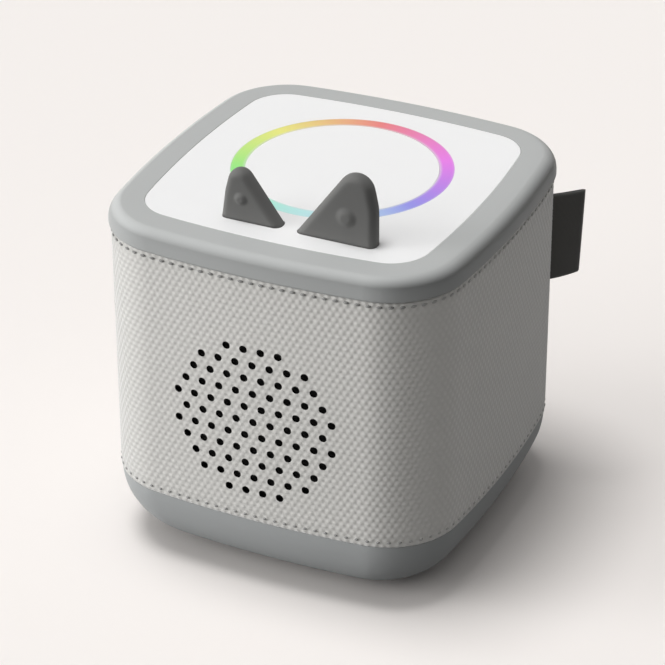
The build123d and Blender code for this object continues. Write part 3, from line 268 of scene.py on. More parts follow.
# ---------------------------------------------------------------- materials
class Finish:
    """A material under construction, with short ways to add and join its nodes."""

    def __init__(self, name):
        self.material = bpy.data.materials.new(name)
        self.material.use_nodes = True
        self.tree = self.material.node_tree
        self.shader = self.tree.nodes["Principled BSDF"]
        self.place = None

    def node(self, kind, **settings):
        """Adds a node of this kind with these settings."""
        made = self.tree.nodes.new("ShaderNode" + kind)
        for key, value in settings.items():
            setattr(made, key, value)
        return made

    def join(self, source, target):
        self.tree.links.new(source, target)

    def objects(self):
        """The object's own coordinates, in metres."""
        if self.place is None:
            self.place = self.node("TexCoord").outputs["Object"]
        return self.place

    def set(self, **sockets):
        """Sets the shader's sockets, whose names have underscores for spaces here."""
        for key, value in sockets.items():
            self.shader.inputs[key.replace("_", " ")].default_value = value

    def noise(self, size, detail=2.0, source=None):
        """Noise whose lumps are about this many millimetres across."""
        made = self.node("TexNoise")
        made.inputs["Scale"].default_value = 1.0 / (size * MM)
        made.inputs["Detail"].default_value = detail
        self.join(source or self.objects(), made.inputs["Vector"])
        return made.outputs["Fac"]

    def math(self, operation, first, second=None, clamp=False):
        """Calculates with numbers or with other nodes' outputs."""
        made = self.node("Math", operation=operation, use_clamp=clamp)
        for socket, value in zip(made.inputs, (first, second)):
            if value is None:
                continue
            if isinstance(value, (int, float)):
                socket.default_value = value
            else:
                self.join(value, socket)
        return made.outputs[0]

    def blend(self, amount, first, second):
        """Colour between first and second."""
        made = self.node("Mix", data_type="RGBA")
        for socket, value in ((made.inputs[0], amount), (made.inputs[6], first), (made.inputs[7], second)):
            if isinstance(value, tuple):
                socket.default_value = (*value, 1)
            elif isinstance(value, (int, float)):
                socket.default_value = value
            else:
                self.join(value, socket)
        return made.outputs[2]

    def spread(self, source, low, high):
        """Maps 0..1 to low..high."""
        made = self.node("MapRange")
        made.inputs["To Min"].default_value = low
        made.inputs["To Max"].default_value = high
        self.join(source, made.inputs["Value"])
        return made.outputs["Result"]

    def ramp(self, source, stops):
        """Colour that runs through these stops, each a place and a colour."""
        made = self.node("ValToRGB")
        elements = made.color_ramp.elements
        elements[0].position, elements[1].position = stops[0][0], stops[-1][0]
        for place, _ in stops[1:-1]:
            elements.new(place)
        for element, (_, colour) in zip(elements, stops):
            element.color = (*colour, 1)
        self.join(source, made.inputs[0])
        return made.outputs["Color"]

    def colour(self, source):
        self.join(source, self.shader.inputs["Base Color"])

    def roughness(self, source):
        self.join(source, self.shader.inputs["Roughness"])

    def bump(self, height, depth, strength=1.0):
        """Fine relief in the shading. Depth is in millimetres."""
        made = self.node("Bump")
        made.inputs["Strength"].default_value = strength
        made.inputs["Distance"].default_value = depth * MM
        self.join(height, made.inputs["Height"])
        self.join(made.outputs["Normal"], self.shader.inputs["Normal"])
        return made

    def tight_edge(self, bump, flat, upright):
        """Shades a rounded edge as if it turned only between these two tilts, in degrees."""
        normal = self.node("NewGeometry").outputs["Normal"]
        split = self.node("SeparateXYZ")
        self.join(normal, split.inputs[0])
        tilt = self.math("ARCCOSINE", split.outputs[2])
        turned = self.node("MapRange")
        turned.inputs["From Min"].default_value = math.radians(flat)
        turned.inputs["From Max"].default_value = math.radians(upright)
        turned.inputs["To Max"].default_value = math.pi / 2
        self.join(tilt, turned.inputs["Value"])
        under = self.math("MAXIMUM", self.math("SUBTRACT", tilt, math.pi / 2), 0.0)
        turned = self.math("ADD", turned.outputs["Result"], under)
        level = self.node("CombineXYZ")
        self.join(split.outputs[0], level.inputs[0])
        self.join(split.outputs[1], level.inputs[1])
        outward = self.node("VectorMath", operation="NORMALIZE")
        self.join(level.outputs[0], outward.inputs[0])
        outward = self.scaled(outward.outputs[0], self.math("SINE", turned))
        upward = self.node("CombineXYZ")
        self.join(self.math("COSINE", turned), upward.inputs[2])
        shaded = self.node("VectorMath", operation="ADD")
        self.join(outward, shaded.inputs[0])
        self.join(upward.outputs[0], shaded.inputs[1])
        self.join(shaded.outputs[0], bump.inputs["Normal"])

    def scaled(self, vector, amount):
        """The vector times a number."""
        made = self.node("VectorMath", operation="SCALE")
        self.join(vector, made.inputs[0])
        self.join(amount, made.inputs["Scale"])
        return made.outputs[0]

    def mottled(self, colour, amount, size):
        """The colour, a little lighter and darker in patches."""
        dark = tuple(c * (1 - amount) for c in colour)
        light = tuple(min(1.0, c * (1 + amount)) for c in colour)
        self.colour(self.blend(self.noise(size, 3.0), dark, light))


def moulded(name, colour, rough, grain=0.35, depth=0.012, mottle=0.02, level=0.5, edge=None):
    """Moulded plastic with the fine grain of its tool. Edge is where a rounded edge seems to turn."""
    made = Finish(name)
    made.mottled(colour, mottle, 18.0)
    made.roughness(made.spread(made.noise(grain * 3, 2.0), rough - 0.05, rough + 0.05))
    bump = made.bump(made.noise(grain, 2.0), depth, 0.6)
    if edge:
        made.tight_edge(bump, *edge)
    made.set(Specular_IOR_Level=level)
    return made.material


def metal(name, colour, rough, size=1.2, stretch=1.0):
    """Bare or plated metal with fine working marks and stains."""
    made = Finish(name)
    made.mottled(colour, 0.08, 6.0)
    mapping = made.node("Mapping")
    mapping.inputs["Scale"].default_value = (1.0, stretch, 1.0)
    made.join(made.objects(), mapping.inputs["Vector"])
    marks = made.noise(size * 0.2, 4.0, mapping.outputs["Vector"])
    made.roughness(made.spread(marks, rough - 0.08, rough + 0.10))
    made.bump(marks, 0.006, 0.5)
    made.set(Metallic=1.0)
    return made.material


def matte_paper():
    """Seamless studio paper for the floor. It throws less light back than it shows."""
    made = Finish("studio_paper")
    path = made.node("LightPath")
    seen = made.math("MAXIMUM", path.outputs["Is Glossy Ray"], path.outputs["Is Transmission Ray"])
    seen = made.math("MAXIMUM", path.outputs["Is Camera Ray"], seen)
    fibre = made.spread(made.noise(60.0), 0.998, 1.0)
    pale = made.blend(fibre, tuple(c * 0.9 for c in PALE), PALE)
    made.colour(made.blend(seen, FLOOR_BOUNCE, pale))
    made.set(Roughness=0.9, Specular_IOR_Level=0.0)
    return made.material


def woven_cloth():
    """Coarse basket weave. The cloth's own map counts beads along U and rows along V."""
    made = Finish("basket_cloth")
    coords = made.node("UVMap", uv_map="cloth").outputs["UV"]
    split = made.node("SeparateXYZ")
    made.join(coords, split.inputs[0])
    across = made.math("COSINE", made.math("MULTIPLY", split.outputs[0], 2 * math.pi))
    along = made.math("COSINE", made.math("MULTIPLY", split.outputs[1], math.pi))
    bead = made.math("MULTIPLY", across, along)
    rows = made.math("COSINE", made.math("MULTIPLY", split.outputs[1], 2 * math.pi))
    height = made.math("ADD", made.math("MULTIPLY", bead, 0.34), made.math("MULTIPLY", rows, 0.16))
    height = made.math("ADD", height, 0.5)
    thread = made.node("Mapping")
    thread.inputs["Scale"].default_value = (1.6, 9.0, 1.0)
    made.join(coords, thread.inputs["Vector"])
    fibres = made.node("TexNoise")
    fibres.inputs["Scale"].default_value = 1.0
    fibres.inputs["Detail"].default_value = 3.0
    made.join(thread.outputs["Vector"], fibres.inputs["Vector"])
    fine = fibres.outputs["Fac"]
    surface = made.math("ADD", height, made.math("MULTIPLY", fine, 0.22))
    # Painted shade and highlight: the weave's low places are painted darker and the beads' tops a little
    # lighter, following the relief. The fibres and the slow noise add the cloth's own tone variation.
    gap = tuple(c * 0.91 for c in CLOTH)
    top = tuple(min(1.0, c * 1.03) for c in CLOTH)
    shade_and_fibre_tone = made.math("ADD", made.math("MULTIPLY", height, 0.75), made.math("MULTIPLY", fine, 0.35), True)
    shade_and_fibre_tone = made.math("ADD", shade_and_fibre_tone, made.spread(made.noise(22.0), -0.06, 0.06), True)
    made.colour(made.blend(shade_and_fibre_tone, gap, top))
    made.bump(surface, 0.38, 0.65)
    made.set(Roughness=0.85, IOR=1.7, Specular_IOR_Level=1.0, Sheen_Weight=0.9, Sheen_Roughness=0.4)
    return made.material


def dark_foam():
    """Fine-celled foam behind the cloth, seen in the rims of its holes."""
    made = Finish("foam_edge")
    cells = made.node("TexVoronoi")
    cells.inputs["Scale"].default_value = 2500.0
    made.join(made.objects(), cells.inputs["Vector"])
    made.colour(made.blend(cells.outputs["Distance"], (0.004, 0.004, 0.004), (0.012, 0.012, 0.012)))
    made.bump(cells.outputs["Distance"], 0.1, 0.6)
    made.set(Roughness=1.0, Specular_IOR_Level=0.05)
    return made.material


def sewing_thread():
    """Two-ply thread, with its twist as fine slanted lines. It is painted paler on the +X side: painted
    light that stands in for how the light falls on the stitches there.
    """
    made = Finish("sewing_thread")
    twist = made.node("TexWave", wave_type="BANDS", bands_direction="DIAGONAL")
    twist.inputs["Scale"].default_value = 900.0
    twist.inputs["Distortion"].default_value = 1.5
    made.join(made.objects(), twist.inputs["Vector"])
    dark = tuple(c * 0.7 for c in THREAD_GREY)
    light = tuple(c * 1.25 for c in THREAD_GREY)
    place = made.node("SeparateXYZ")
    made.join(made.objects(), place.inputs[0])
    # Painted light: from 46 to 60 mm along +X the thread turns to the paler painted-light colour
    side = made.node("MapRange")
    side.inputs["From Min"].default_value = 46.0 * MM
    side.inputs["From Max"].default_value = 60.0 * MM
    made.join(place.outputs[0], side.inputs["Value"])
    twisted = made.blend(twist.outputs["Fac"], dark, light)
    made.colour(made.blend(side.outputs["Result"], twisted, THREAD_PAINTED_LIGHT))
    made.bump(twist.outputs["Fac"], 0.05, 0.6)
    made.set(Roughness=0.8, Sheen_Weight=0.2)
    return made.material


def label_tape(name, colour):
    """Damask ribbon: fine ribs across and threads along. The map is in millimetres."""
    made = Finish(name)
    coords = made.node("UVMap", uv_map="tape").outputs["UV"]
    split = made.node("SeparateXYZ")
    made.join(coords, split.inputs[0])
    ribs = made.math("SINE", made.math("MULTIPLY", split.outputs[1], 2 * math.pi / 0.42))
    warp = made.math("SINE", made.math("MULTIPLY", split.outputs[0], 2 * math.pi / 0.36))
    height = made.math("ADD", made.math("MULTIPLY", ribs, 0.3), made.math("MULTIPLY", warp, 0.2))
    height = made.math("ADD", height, 0.5)
    height = made.math("ADD", height, made.math("MULTIPLY", made.noise(0.5, 3.0), 0.3))
    # Painted shade and highlight: the ribbon is painted darker in its low places and lighter on its ribs
    # and threads, following the relief. The noise adds its own tone variation.
    made.colour(made.blend(height, tuple(c * 0.7 for c in colour), tuple(c * 1.5 for c in colour)))
    made.bump(height, 0.06, 0.7)
    made.set(Roughness=0.75, Sheen_Weight=0.15, Specular_IOR_Level=0.25)
    return made.material


def glowing_ring():
    """Milky ring lit from below. The hue turns with the angle round the ring's centre."""
    made = Finish("glowing_ring")
    centred = made.node("Mapping")
    centred.inputs["Location"].default_value = (0, -RING_Y * MM, 0)
    made.join(made.objects(), centred.inputs["Vector"])
    split = made.node("SeparateXYZ")
    made.join(centred.outputs["Vector"], split.inputs[0])
    angle = made.math("ARCTAN2", split.outputs[1], split.outputs[0])
    turn = made.math("DIVIDE", angle, 2 * math.pi)
    away = made.math("DIVIDE", made.math("PINGPONG", made.math("SUBTRACT", turn, RING_PALE), 0.5),
                     RING_PALE_WIDTH)
    pale = made.math("EXPONENT", made.math("MULTIPLY", made.math("MULTIPLY", away, away), -1.0))
    wheel = made.node("CombineColor", mode="HSV")
    made.join(made.math("FRACT", made.math("SUBTRACT", turn, RING_RED)), wheel.inputs[0])
    made.join(made.math("SUBTRACT", RING_SATURATION, made.math("MULTIPLY", pale, RING_PALE_DEPTH)),
              wheel.inputs[1])
    wheel.inputs[2].default_value = RING_VALUE
    flat = made.node("CombineXYZ")
    made.join(split.outputs[0], flat.inputs[0])
    made.join(split.outputs[1], flat.inputs[1])
    length = made.node("VectorMath", operation="LENGTH")
    made.join(flat.outputs[0], length.inputs[0])
    across = made.node("MapRange")
    across.inputs["From Min"].default_value = RING_INNER * MM
    across.inputs["From Max"].default_value = RING_OUTER * MM
    made.join(length.outputs["Value"], across.inputs["Value"])
    edges = made.ramp(across.outputs["Result"], [(place, (level,) * 3) for place, level in RING_HAZE])
    haze = made.blend(edges, wheel.outputs["Color"], (0.75, 0.75, 0.75))
    made.join(haze, made.shader.inputs["Emission Color"])
    made.colour(made.blend(0.65, haze, (0.0, 0.0, 0.0)))
    made.bump(made.noise(0.6), 0.004, 0.4)
    made.set(Roughness=0.35, Emission_Strength=0.60, Specular_IOR_Level=0.1)
    return made.material


def circuit_green():
    """Solder mask over fine tracks."""
    made = Finish("circuit_green")
    tracks = made.node("TexBrick")
    tracks.inputs["Scale"].default_value = 250.0
    tracks.inputs["Mortar Size"].default_value = 0.06
    tracks.inputs["Color1"].default_value = (0.010, 0.105, 0.045, 1)
    tracks.inputs["Color2"].default_value = (0.014, 0.125, 0.055, 1)
    tracks.inputs["Mortar"].default_value = (0.03, 0.20, 0.09, 1)
    made.join(made.objects(), tracks.inputs["Vector"])
    made.colour(tracks.outputs["Color"])
    made.bump(tracks.outputs["Fac"], 0.03, 0.5)
    made.set(Roughness=0.35, Coat_Weight=0.3, Coat_Roughness=0.2)
    return made.material


def pulp_paper(name, colour):
    """Pressed fibre of the speaker's cone and spider."""
    made = Finish(name)
    made.mottled(colour, 0.25, 1.2)
    made.bump(made.noise(0.4, 5.0), 0.08, 0.7)
    made.set(Roughness=0.9, Sheen_Weight=0.2)
    return made.material


def copper_winding():
    """Lacquered copper wire, wound side by side."""
    made = Finish("copper_winding")
    turns = made.node("TexWave", wave_type="BANDS", bands_direction="Y")
    turns.inputs["Scale"].default_value = 1600.0
    made.join(made.objects(), turns.inputs["Vector"])
    made.colour(made.blend(turns.outputs["Fac"], (0.30, 0.10, 0.03), (0.80, 0.36, 0.16)))
    made.bump(turns.outputs["Fac"], 0.05, 0.8)
    made.set(Roughness=0.35, Metallic=0.8)
    return made.material


# ---------------------------------------------------------------- outline of the body
def outline_arcs():
    """Arcs of the body's outline from the middle of the rear right corner, anticlockwise.
    Each is its centre, its radius, the angle it starts at and the angle it turns through."""
    side_radius = SIDE_CENTRE + SLEEVE_HALF
    between = side_radius - SLEEVE_CORNER
    corner = (math.sqrt(2 * between**2 - SIDE_CENTRE**2) - SIDE_CENTRE) / 2
    lean = math.atan2(corner, SIDE_CENTRE + corner)
    quarter = math.pi / 2
    bend = (quarter - 2 * lean) / 2
    reach = corner * math.sqrt(2)
    arcs = []
    for turn in range(4):
        start = quarter / 2 + turn * quarter
        centre = polar(-SIDE_CENTRE, start + quarter / 2)
        last = start + quarter - bend
        arcs.append((polar(reach, start), SLEEVE_CORNER, start, bend))
        arcs.append((centre, side_radius, start + bend, 2 * lean))
        arcs.append((polar(reach, start + quarter), SLEEVE_CORNER, last, bend))
    return arcs


def polar(reach, angle):
    """Point in plan at this reach from the axis."""
    return Vector((reach * math.cos(angle), reach * math.sin(angle)))


ARCS = outline_arcs()
GIRTH = sum(radius * turn for _, radius, _, turn in ARCS)


def around(share):
    """Point on the sleeve's outline and its outward direction, at this share of the girth."""
    left = (share % 1.0) * GIRTH
    for centre, radius, start, turn in ARCS:
        if left <= radius * turn + 1e-9:
            break
        left -= radius * turn
    angle = start + left / radius
    outward = polar(1, angle)
    return centre + radius * outward, outward


# ---------------------------------------------------------------- cloth
COLUMN = GIRTH / WEAVE_COLUMNS
ROW = (SLEEVE_HIGH - SLEEVE_LOW - 2 * SLEEVE_EDGE) / WEAVE_ROWS
FIRST_ROW_Z = SLEEVE_LOW + SLEEVE_EDGE
LAST_ROW_Z = SLEEVE_HIGH - SLEEVE_EDGE


def flat_height(row):
    """Height up the flat cloth of a row of the grid. The rows at each end turn under as hems."""
    woven = min(max(row - HEM_ROWS, 0), WEAVE_ROWS)
    return FIRST_ROW_Z + woven * ROW + (row - HEM_ROWS - woven) * HEM_TURN / HEM_ROWS


def cloth_relief(along, height):
    """How far the woven face stands out of the plain outline at this place on the flat cloth."""
    columns = along / COLUMN
    rows = (height - FIRST_ROW_Z) / ROW
    bead = math.cos(math.pi * columns) * math.cos(math.pi * rows / 2)
    lift = WEAVE_RELIEF * (BEAD_SHARE * bead + (1 - BEAD_SHARE) * math.cos(math.pi * rows))
    for level in (UPPER_STITCH_Z, LOWER_STITCH_Z):
        near = math.exp(-(((height - level) / STITCH_SPREAD) ** 2))
        pucker = math.cos(2 * math.pi * along / GIRTH * STITCH_COUNT)
        pull = 1 - STITCH_PUCKER + STITCH_PUCKER * pucker
        lift = lift * (1 - near) - STITCH_PULL * pull * near
    from_seam = min(along, GIRTH - along)
    lift -= SEAM_DEPTH * math.exp(-((from_seam / SEAM_WIDTH) ** 2))
    rise = (height - SLEEVE_LOW) / (SLEEVE_HIGH - SLEEVE_LOW)
    return lift + SWELL * math.sin(6 * math.pi * along / GIRTH + 0.7) * math.sin(math.pi * rise)


def wrapped(along, height):
    """Where a place on the flat cloth comes to lie on the body."""
    point, outward = around(along / GIRTH)
    over = max(height - LAST_ROW_Z, FIRST_ROW_Z - height, 0) / SLEEVE_EDGE
    depth = cloth_relief(along % GIRTH, height) - SLEEVE_EDGE * (1 - math.cos(over))
    level = min(max(height, FIRST_ROW_Z), LAST_ROW_Z)
    level += math.copysign(SLEEVE_EDGE * math.sin(over), height - SPEAKER_Z)
    point = point + outward * depth
    return Vector((point.x, point.y, level))


def openings():
    """Centre on the flat cloth and half size of each hole: the perforations and both sockets."""
    front = FRONT_SHARE * GIRTH
    rear = REAR_SHARE * GIRTH
    row_step = HOLE_PITCH * math.sqrt(3) / 2
    rows = int(FIELD_RADIUS / row_step)
    columns = int(FIELD_RADIUS / HOLE_PITCH) + 1
    places = []
    for row in range(-rows, rows + 1):
        for column in range(-columns, columns + 1):
            x = (column + (row % 2) / 2) * HOLE_PITCH
            z = row * row_step
            if math.hypot(x, z) <= FIELD_RADIUS:
                places.append((front + x, SPEAKER_Z + z, 0.0, HOLE_RADIUS))
    places.append((rear + PORT_X, PORT_Z, 0.0, JACK_RADIUS))
    places.append((rear - PORT_X, PORT_Z, (USB_SIZE[0] - USB_SIZE[1]) / 2, USB_SIZE[1] / 2))
    return places


def punch(made, lattice, x, z, straight, radius):
    """Cuts a round hole, or a slot with a straight middle, and shapes the mesh round its rim."""
    def gap(vert):
        """How far a vertex lies outside the opening."""
        return math.hypot(max(abs(vert.co.x - x) - straight, 0), vert.co.y - z) - radius

    columns = range(int((x - straight - radius) / COLUMN) - 2, int((x + straight + radius) / COLUMN) + 4)
    first = HEM_ROWS + int((z - radius - FIRST_ROW_Z) / ROW) - 2
    rows = range(first, first + int(2 * radius / ROW) + 6)
    near = [lattice[row][column] for row in rows for column in columns
            if lattice[row][column].is_valid and gap(lattice[row][column]) < HOLE_MARGIN]
    faces = list({face for vert in near for face in vert.link_faces})
    rim = {edge for face in faces for edge in face.edges}
    bmesh.ops.delete(made, geom=faces, context="FACES_ONLY")
    loose = [edge for edge in rim if not edge.link_faces]
    rim = [edge for edge in rim if len(edge.link_faces) == 1]
    bmesh.ops.delete(made, geom=loose, context="EDGES")
    grown = bmesh.ops.extrude_edge_only(made, edges=rim)
    for vert in grown["geom"]:
        if isinstance(vert, bmesh.types.BMVert):
            middle = math.copysign(min(straight, abs(vert.co.x - x)), vert.co.x - x)
            away = Vector((vert.co.x - x - middle, vert.co.y - z)).normalized()
            vert.co.x = x + middle + away.x * radius
            vert.co.y = z + away.y * radius


def fabric_wrap():
    """Woven cloth, perforated flat, then wrapped once round the body and sewn at its rear corner."""
    rows = WEAVE_ROWS + 2 * HEM_ROWS
    made = bmesh.new()
    bmesh.ops.create_grid(made, x_segments=WEAVE_COLUMNS, y_segments=rows, size=0.5)
    lattice = [[None] * (WEAVE_COLUMNS + 1) for _ in range(rows + 1)]
    for vert in made.verts:
        column = round((vert.co.x + 0.5) * WEAVE_COLUMNS)
        row = round((vert.co.y + 0.5) * rows)
        vert.co = (column * COLUMN, flat_height(row), 0)
        lattice[row][column] = vert
    for place in openings():
        punch(made, lattice, *place)
    cloth_map = made.loops.layers.uv.new("cloth")
    for face in made.faces:
        for loop in face.loops:
            spot = loop.vert.co
            loop[cloth_map].uv = (spot.x / COLUMN / 2, (spot.y - FIRST_ROW_Z) / ROW / 2)
    for vert in made.verts:
        vert.co = wrapped(vert.co.x, vert.co.y)
    bmesh.ops.remove_doubles(made, verts=made.verts, dist=0.001)
    bmesh.ops.recalc_face_normals(made, faces=made.faces)
    made.faces.ensure_lookup_table()
    middle = made.faces[0].calc_center_median()
    if made.faces[0].normal.dot(Vector((middle.x, middle.y, 0))) < 0:
        bmesh.ops.reverse_faces(made, faces=made.faces)
    to_metres(made)
    wrap = finished("fabric_wrap", made, [CLOTH_WEAVE, DARK_FOAM])
    wall = wrap.modifiers.new("cloth", "SOLIDIFY")
    wall.thickness = CLOTH_THICKNESS * MM
    wall.offset = -1.0
    wall.material_offset_rim = 1
    apply_modifiers(wrap)
    wrap.data.set_sharp_from_angle(angle=math.radians(CLOTH_CREASE))
    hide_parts("fabric_sleeve")
    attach(wrap, "player")


def stitching(name, level, stitch_size):
    """A row of single stitches round the body."""
    made = bmesh.new()
    length, width, proud = stitch_size
    for stitch in range(STITCH_COUNT):
        point, outward = around((stitch + 0.5) / STITCH_COUNT)
        seat = point + outward * (STITCH_LIFT - STITCH_PULL * 0.5)
        turn = Matrix.Rotation(math.atan2(outward.y, outward.x), 4, "Z")
        slant = Matrix.Rotation(math.radians(STITCH_SLANT), 4, "X")
        size = Matrix.Diagonal((proud / 2, length / 2, width / 2, 1))
        place = Matrix.Translation((seat.x, seat.y, level)) @ turn @ slant @ size
        bmesh.ops.create_uvsphere(made, u_segments=8, v_segments=6, radius=1.0, matrix=place)
    to_metres(made)
    row = finished(name, made, [THREAD])
    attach(row, "player")


# ---------------------------------------------------------------- ears
def ear_outline(ear):
    """Corner points of an ear in front view, from its root below the plate's face to the tip."""
    lean = math.tan(math.radians(ear["lean"]))
    upper = math.tan(math.radians(ear["upper_lean"]))
    slope = math.tan(math.radians(EAR_SLOPE))
    span = abs(ear["outer"] - ear["inner"])
    knee = span - lean * ear["knee"]
    tip_z = slope * (knee + upper * ear["knee"]) / (1 + slope * upper)
    side = math.copysign(1, ear["outer"] - ear["inner"])
    corners = [(0, -EAR_ROOT), (span, -EAR_ROOT), (span, 0), (knee, ear["knee"]),
               (tip_z / slope, tip_z), (0, 0)]
    return [(ear["inner"] + side * x, PLATE_FACE + z) for x, z in corners]


def rounded(corners, radii):
    """Outline whose corners of the given numbers are rounded to true arcs."""
    outline = []
    for number, corner in enumerate(corners):
        here = Vector(corner)
        if number not in radii:
            outline.append(here)
            continue
        before = (Vector(corners[number - 1]) - here).normalized()
        after = (Vector(corners[(number + 1) % len(corners)]) - here).normalized()
        half = before.angle(after) / 2
        centre = here + (before + after).normalized() * radii[number] / math.sin(half)
        tangent = radii[number] / math.tan(half)
        first = (here + before * tangent - centre).normalized()
        last = (here + after * tangent - centre).normalized()
        outline += [centre + first.slerp(last, step / ARC_STEPS) * radii[number]
                    for step in range(ARC_STEPS + 1)]
    return outline


def ear_skin(name, ear, pad, nodes):
    """Silicone skin of an ear, with the soft dome that is pressed over the switch."""
    made = bmesh.new()
    front = EAR_FRONT_Y
    outline = rounded(ear_outline(ear), {3: KNEE_ROUND, 4: ear["tip"]})
    face = made.faces.new([made.verts.new((x, front, z)) for x, z in outline])
    grown = bmesh.ops.extrude_face_region(made, geom=[face])
    moved = [item for item in grown["geom"] if isinstance(item, bmesh.types.BMVert)]
    bmesh.ops.translate(made, vec=(0, EAR_THICKNESS, 0), verts=moved)
    bmesh.ops.recalc_face_normals(made, faces=made.faces)
    rim = [edge for edge in made.edges
           if abs((edge.verts[0].co - edge.verts[1].co).y) < 0.01
           and max(vert.co.z for vert in edge.verts) > PLATE_FACE - EAR_ROOT + 0.1]
    bmesh.ops.bevel(made, geom=rim, offset=EAR_EDGE, segments=8, affect="EDGES", profile=0.5, material=-1)
    bmesh.ops.remove_doubles(made, verts=made.verts, dist=0.01)
    to_metres(made)
    skin = finished(name, made, [EAR_RUBBER])
    remesh = skin.modifiers.new("skin", "REMESH")
    remesh.mode = "VOXEL"
    remesh.voxel_size = EAR_VOXEL * MM
    remesh.use_smooth_shade = True
    relax = skin.modifiers.new("relax", "SMOOTH")
    relax.factor = 0.5
    relax.iterations = 6
    apply_modifiers(skin)
    x, z = pad["x"] * MM, (PLATE_FACE + pad["above"]) * MM
    reach = pad["radius"] * MM * PAD_REACH
    for vert in skin.data.vertices:
        from_pad = math.hypot(vert.co.x - x, vert.co.z - z) / reach
        if from_pad < 1 and vert.co.y < (front + 1) * MM:
            fall = min(max((from_pad - PAD_FLAT) / (1 - PAD_FLAT), 0), 1)
            vert.co.y -= PAD_DOME * MM * (1 - fall * fall * (3 - 2 * fall))
        if vert.co.z < (PLATE_FACE + EAR_NECK_TOP) * MM:
            middle = (front + EAR_THICKNESS / 2) * MM
            vert.co.y = middle + (vert.co.y - middle) * EAR_NECK
    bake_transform(skin)
    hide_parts(*nodes)


# ---------------------------------------------------------------- label
def label_piece():
    """Folded ribbon sewn into the seam, standing out from the corner and a little twisted."""
    seam, outward = around(0.0)
    turn = outward.orthogonal() * -1
    half = LABEL_HALF_THICKNESS
    straight = LABEL_REACH + LABEL_ROOT - half
    fold = math.pi * half
    whole = 2 * straight + fold
    made = bmesh.new()
    bmesh.ops.create_grid(made, x_segments=LABEL_COLUMNS, y_segments=LABEL_ROWS, size=0.5)
    tape_map = made.loops.layers.uv.new("tape")
    for face in made.faces:
        for loop in face.loops:
            loop[tape_map].uv = ((loop.vert.co.x + 0.5) * whole, (loop.vert.co.y + 0.5) * LABEL_HEIGHT)
    for vert in made.verts:
        run = (vert.co.x + 0.5) * whole
        drop = 0.5 - vert.co.y
        if run < straight:
            out, side = run, half
        elif run > straight + fold:
            out, side = whole - run, -half
        else:
            angle = (run - straight) / half
            out, side = straight + half * math.sin(angle), half * math.cos(angle)
        reach = out / straight
        swing = math.radians(LABEL_SWING - LABEL_TWIST * drop) * reach
        bow = LABEL_BOW * math.sin(math.pi * reach) + out * math.sin(swing)
        point = seam + outward * (out * math.cos(swing) - LABEL_ROOT) + turn * (side + bow)
        vert.co = (point.x, point.y, LABEL_TOP - LABEL_HEIGHT * drop)
    bmesh.ops.recalc_face_normals(made, faces=made.faces)
    to_metres(made)
    label = finished("side_label", made, [LABEL_WEAVE])
    wall = label.modifiers.new("ribbon", "SOLIDIFY")
    wall.thickness = LABEL_TAPE * MM
    wall.offset = 0.0
    apply_modifiers(label)
    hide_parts("corner_label")
    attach(label, "player")


# ---------------------------------------------------------------- build everything
set_camera()
set_world()
sun("overhead", towards=(-0.17, -0.04, 0.98), strength=1.64, spread=25)
sun("ceiling", towards=(0.0, 0.0, 1.0), strength=0.95, spread=110)
sun("left", towards=(-0.89, -0.45, 0.06), strength=2.6, spread=30)
sun("front_left", towards=(-0.72, -0.66, 0.20), strength=1.3, spread=60)

CLOTH_WEAVE = woven_cloth()
DARK_FOAM = dark_foam()
THREAD = sewing_thread()
EAR_RUBBER = moulded("ear_silicone", EAR_GREY, 0.60, grain=0.5, depth=0.01, mottle=0.04, level=0.10)
LABEL_WEAVE = label_tape("label_ribbon", LABEL_BLACK)

fabric_wrap()
stitching("stitching_upper", UPPER_STITCH_Z, UPPER_STITCH)
stitching("stitching_lower", LOWER_STITCH_Z, LOWER_STITCH)
ear_skin("ear_skin_large", LARGE_EAR, LARGE_PAD,
         ["ear_cover_large", "volume_up_pad"])
ear_skin("ear_skin_small", SMALL_EAR, SMALL_PAD,
         ["ear_cover_small", "volume_down_pad"])
label_piece()

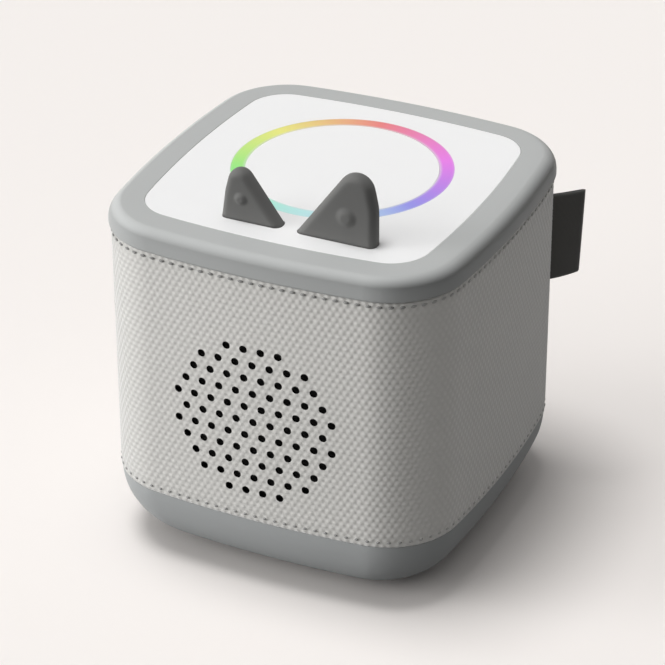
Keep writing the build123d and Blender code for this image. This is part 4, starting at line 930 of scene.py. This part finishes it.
# Finishes of the pieces that keep their own shape, by the record's material slot
FINISHES = {
    "frame_grey": moulded("frame_plastic", FRAME_GREY, 0.45, grain=0.3, depth=0.006, mottle=0.012,
                          level=0.06, edge=(13, 60)),
    "plate_white": moulded("plate_plastic", PLATE_WHITE, 0.42, grain=0.5, depth=0.004, mottle=0.006,
                           level=0.25),
    "light_ring": glowing_ring(),
    "inner_white": moulded("inner_white_plastic", (0.78, 0.78, 0.76), 0.5),
    "circuit_board": circuit_green(),
    "led_package": moulded("lamp_lens", (0.85, 0.85, 0.70), 0.25),
    "magnet_steel": metal("magnet_plating", (0.50, 0.50, 0.52), 0.30),
    "ear_rubber": EAR_RUBBER,
    "inner_dark": moulded("inner_dark_plastic", (0.02, 0.02, 0.02), 0.55),
    "switch_metal": metal("switch_metal", (0.62, 0.60, 0.55), 0.30),
    "screw_steel": metal("screw_zinc", (0.55, 0.55, 0.56), 0.32),
    "fabric_grey": CLOTH_WEAVE,
    "label_black": LABEL_WEAVE,
    "foam_black": DARK_FOAM,
    "speaker_steel": metal("speaker_steel", (0.10, 0.10, 0.11), 0.42),
    "speaker_rubber": moulded("speaker_rubber", (0.02, 0.02, 0.02), 0.6),
    "cone_paper": pulp_paper("cone_pulp", (0.03, 0.03, 0.03)),
    "coil_copper": copper_winding(),
    "spider_cloth": pulp_paper("spider_cloth", (0.50, 0.36, 0.15)),
    "base_grey": moulded("base_plastic", BASE_GREY, 0.50, grain=0.3, depth=0.008, mottle=0.015,
                         level=0.05),
    "foot_rubber": moulded("foot_rubber", (0.06, 0.06, 0.06), 0.75, grain=0.6, depth=0.03),
    "cell_wrap": moulded("cell_wrap", (0.03, 0.16, 0.36), 0.30, grain=2.0, depth=0.01),
    "shield_metal": metal("shield_tin", (0.66, 0.66, 0.66), 0.34, size=2.0, stretch=4.0),
    "component_black": moulded("component_resin", (0.02, 0.02, 0.02), 0.45),
    "connector_white": moulded("connector_nylon", (0.80, 0.77, 0.66), 0.5),
    "lead_red": moulded("lead_red", (0.40, 0.02, 0.02), 0.4, grain=0.8),
    "lead_black": moulded("lead_black", (0.02, 0.02, 0.02), 0.4, grain=0.8),
}
for entry in frame["record"]["subparts"]:
    node = NODES[entry["node"]]
    finish = FINISHES[entry["material_slot"]]
    if not node.material_slots:
        node.data.materials.append(finish)
    for place in node.material_slots:
        place.material = finish

set_floor()
bpy.context.scene.view_settings.view_transform = "Standard"
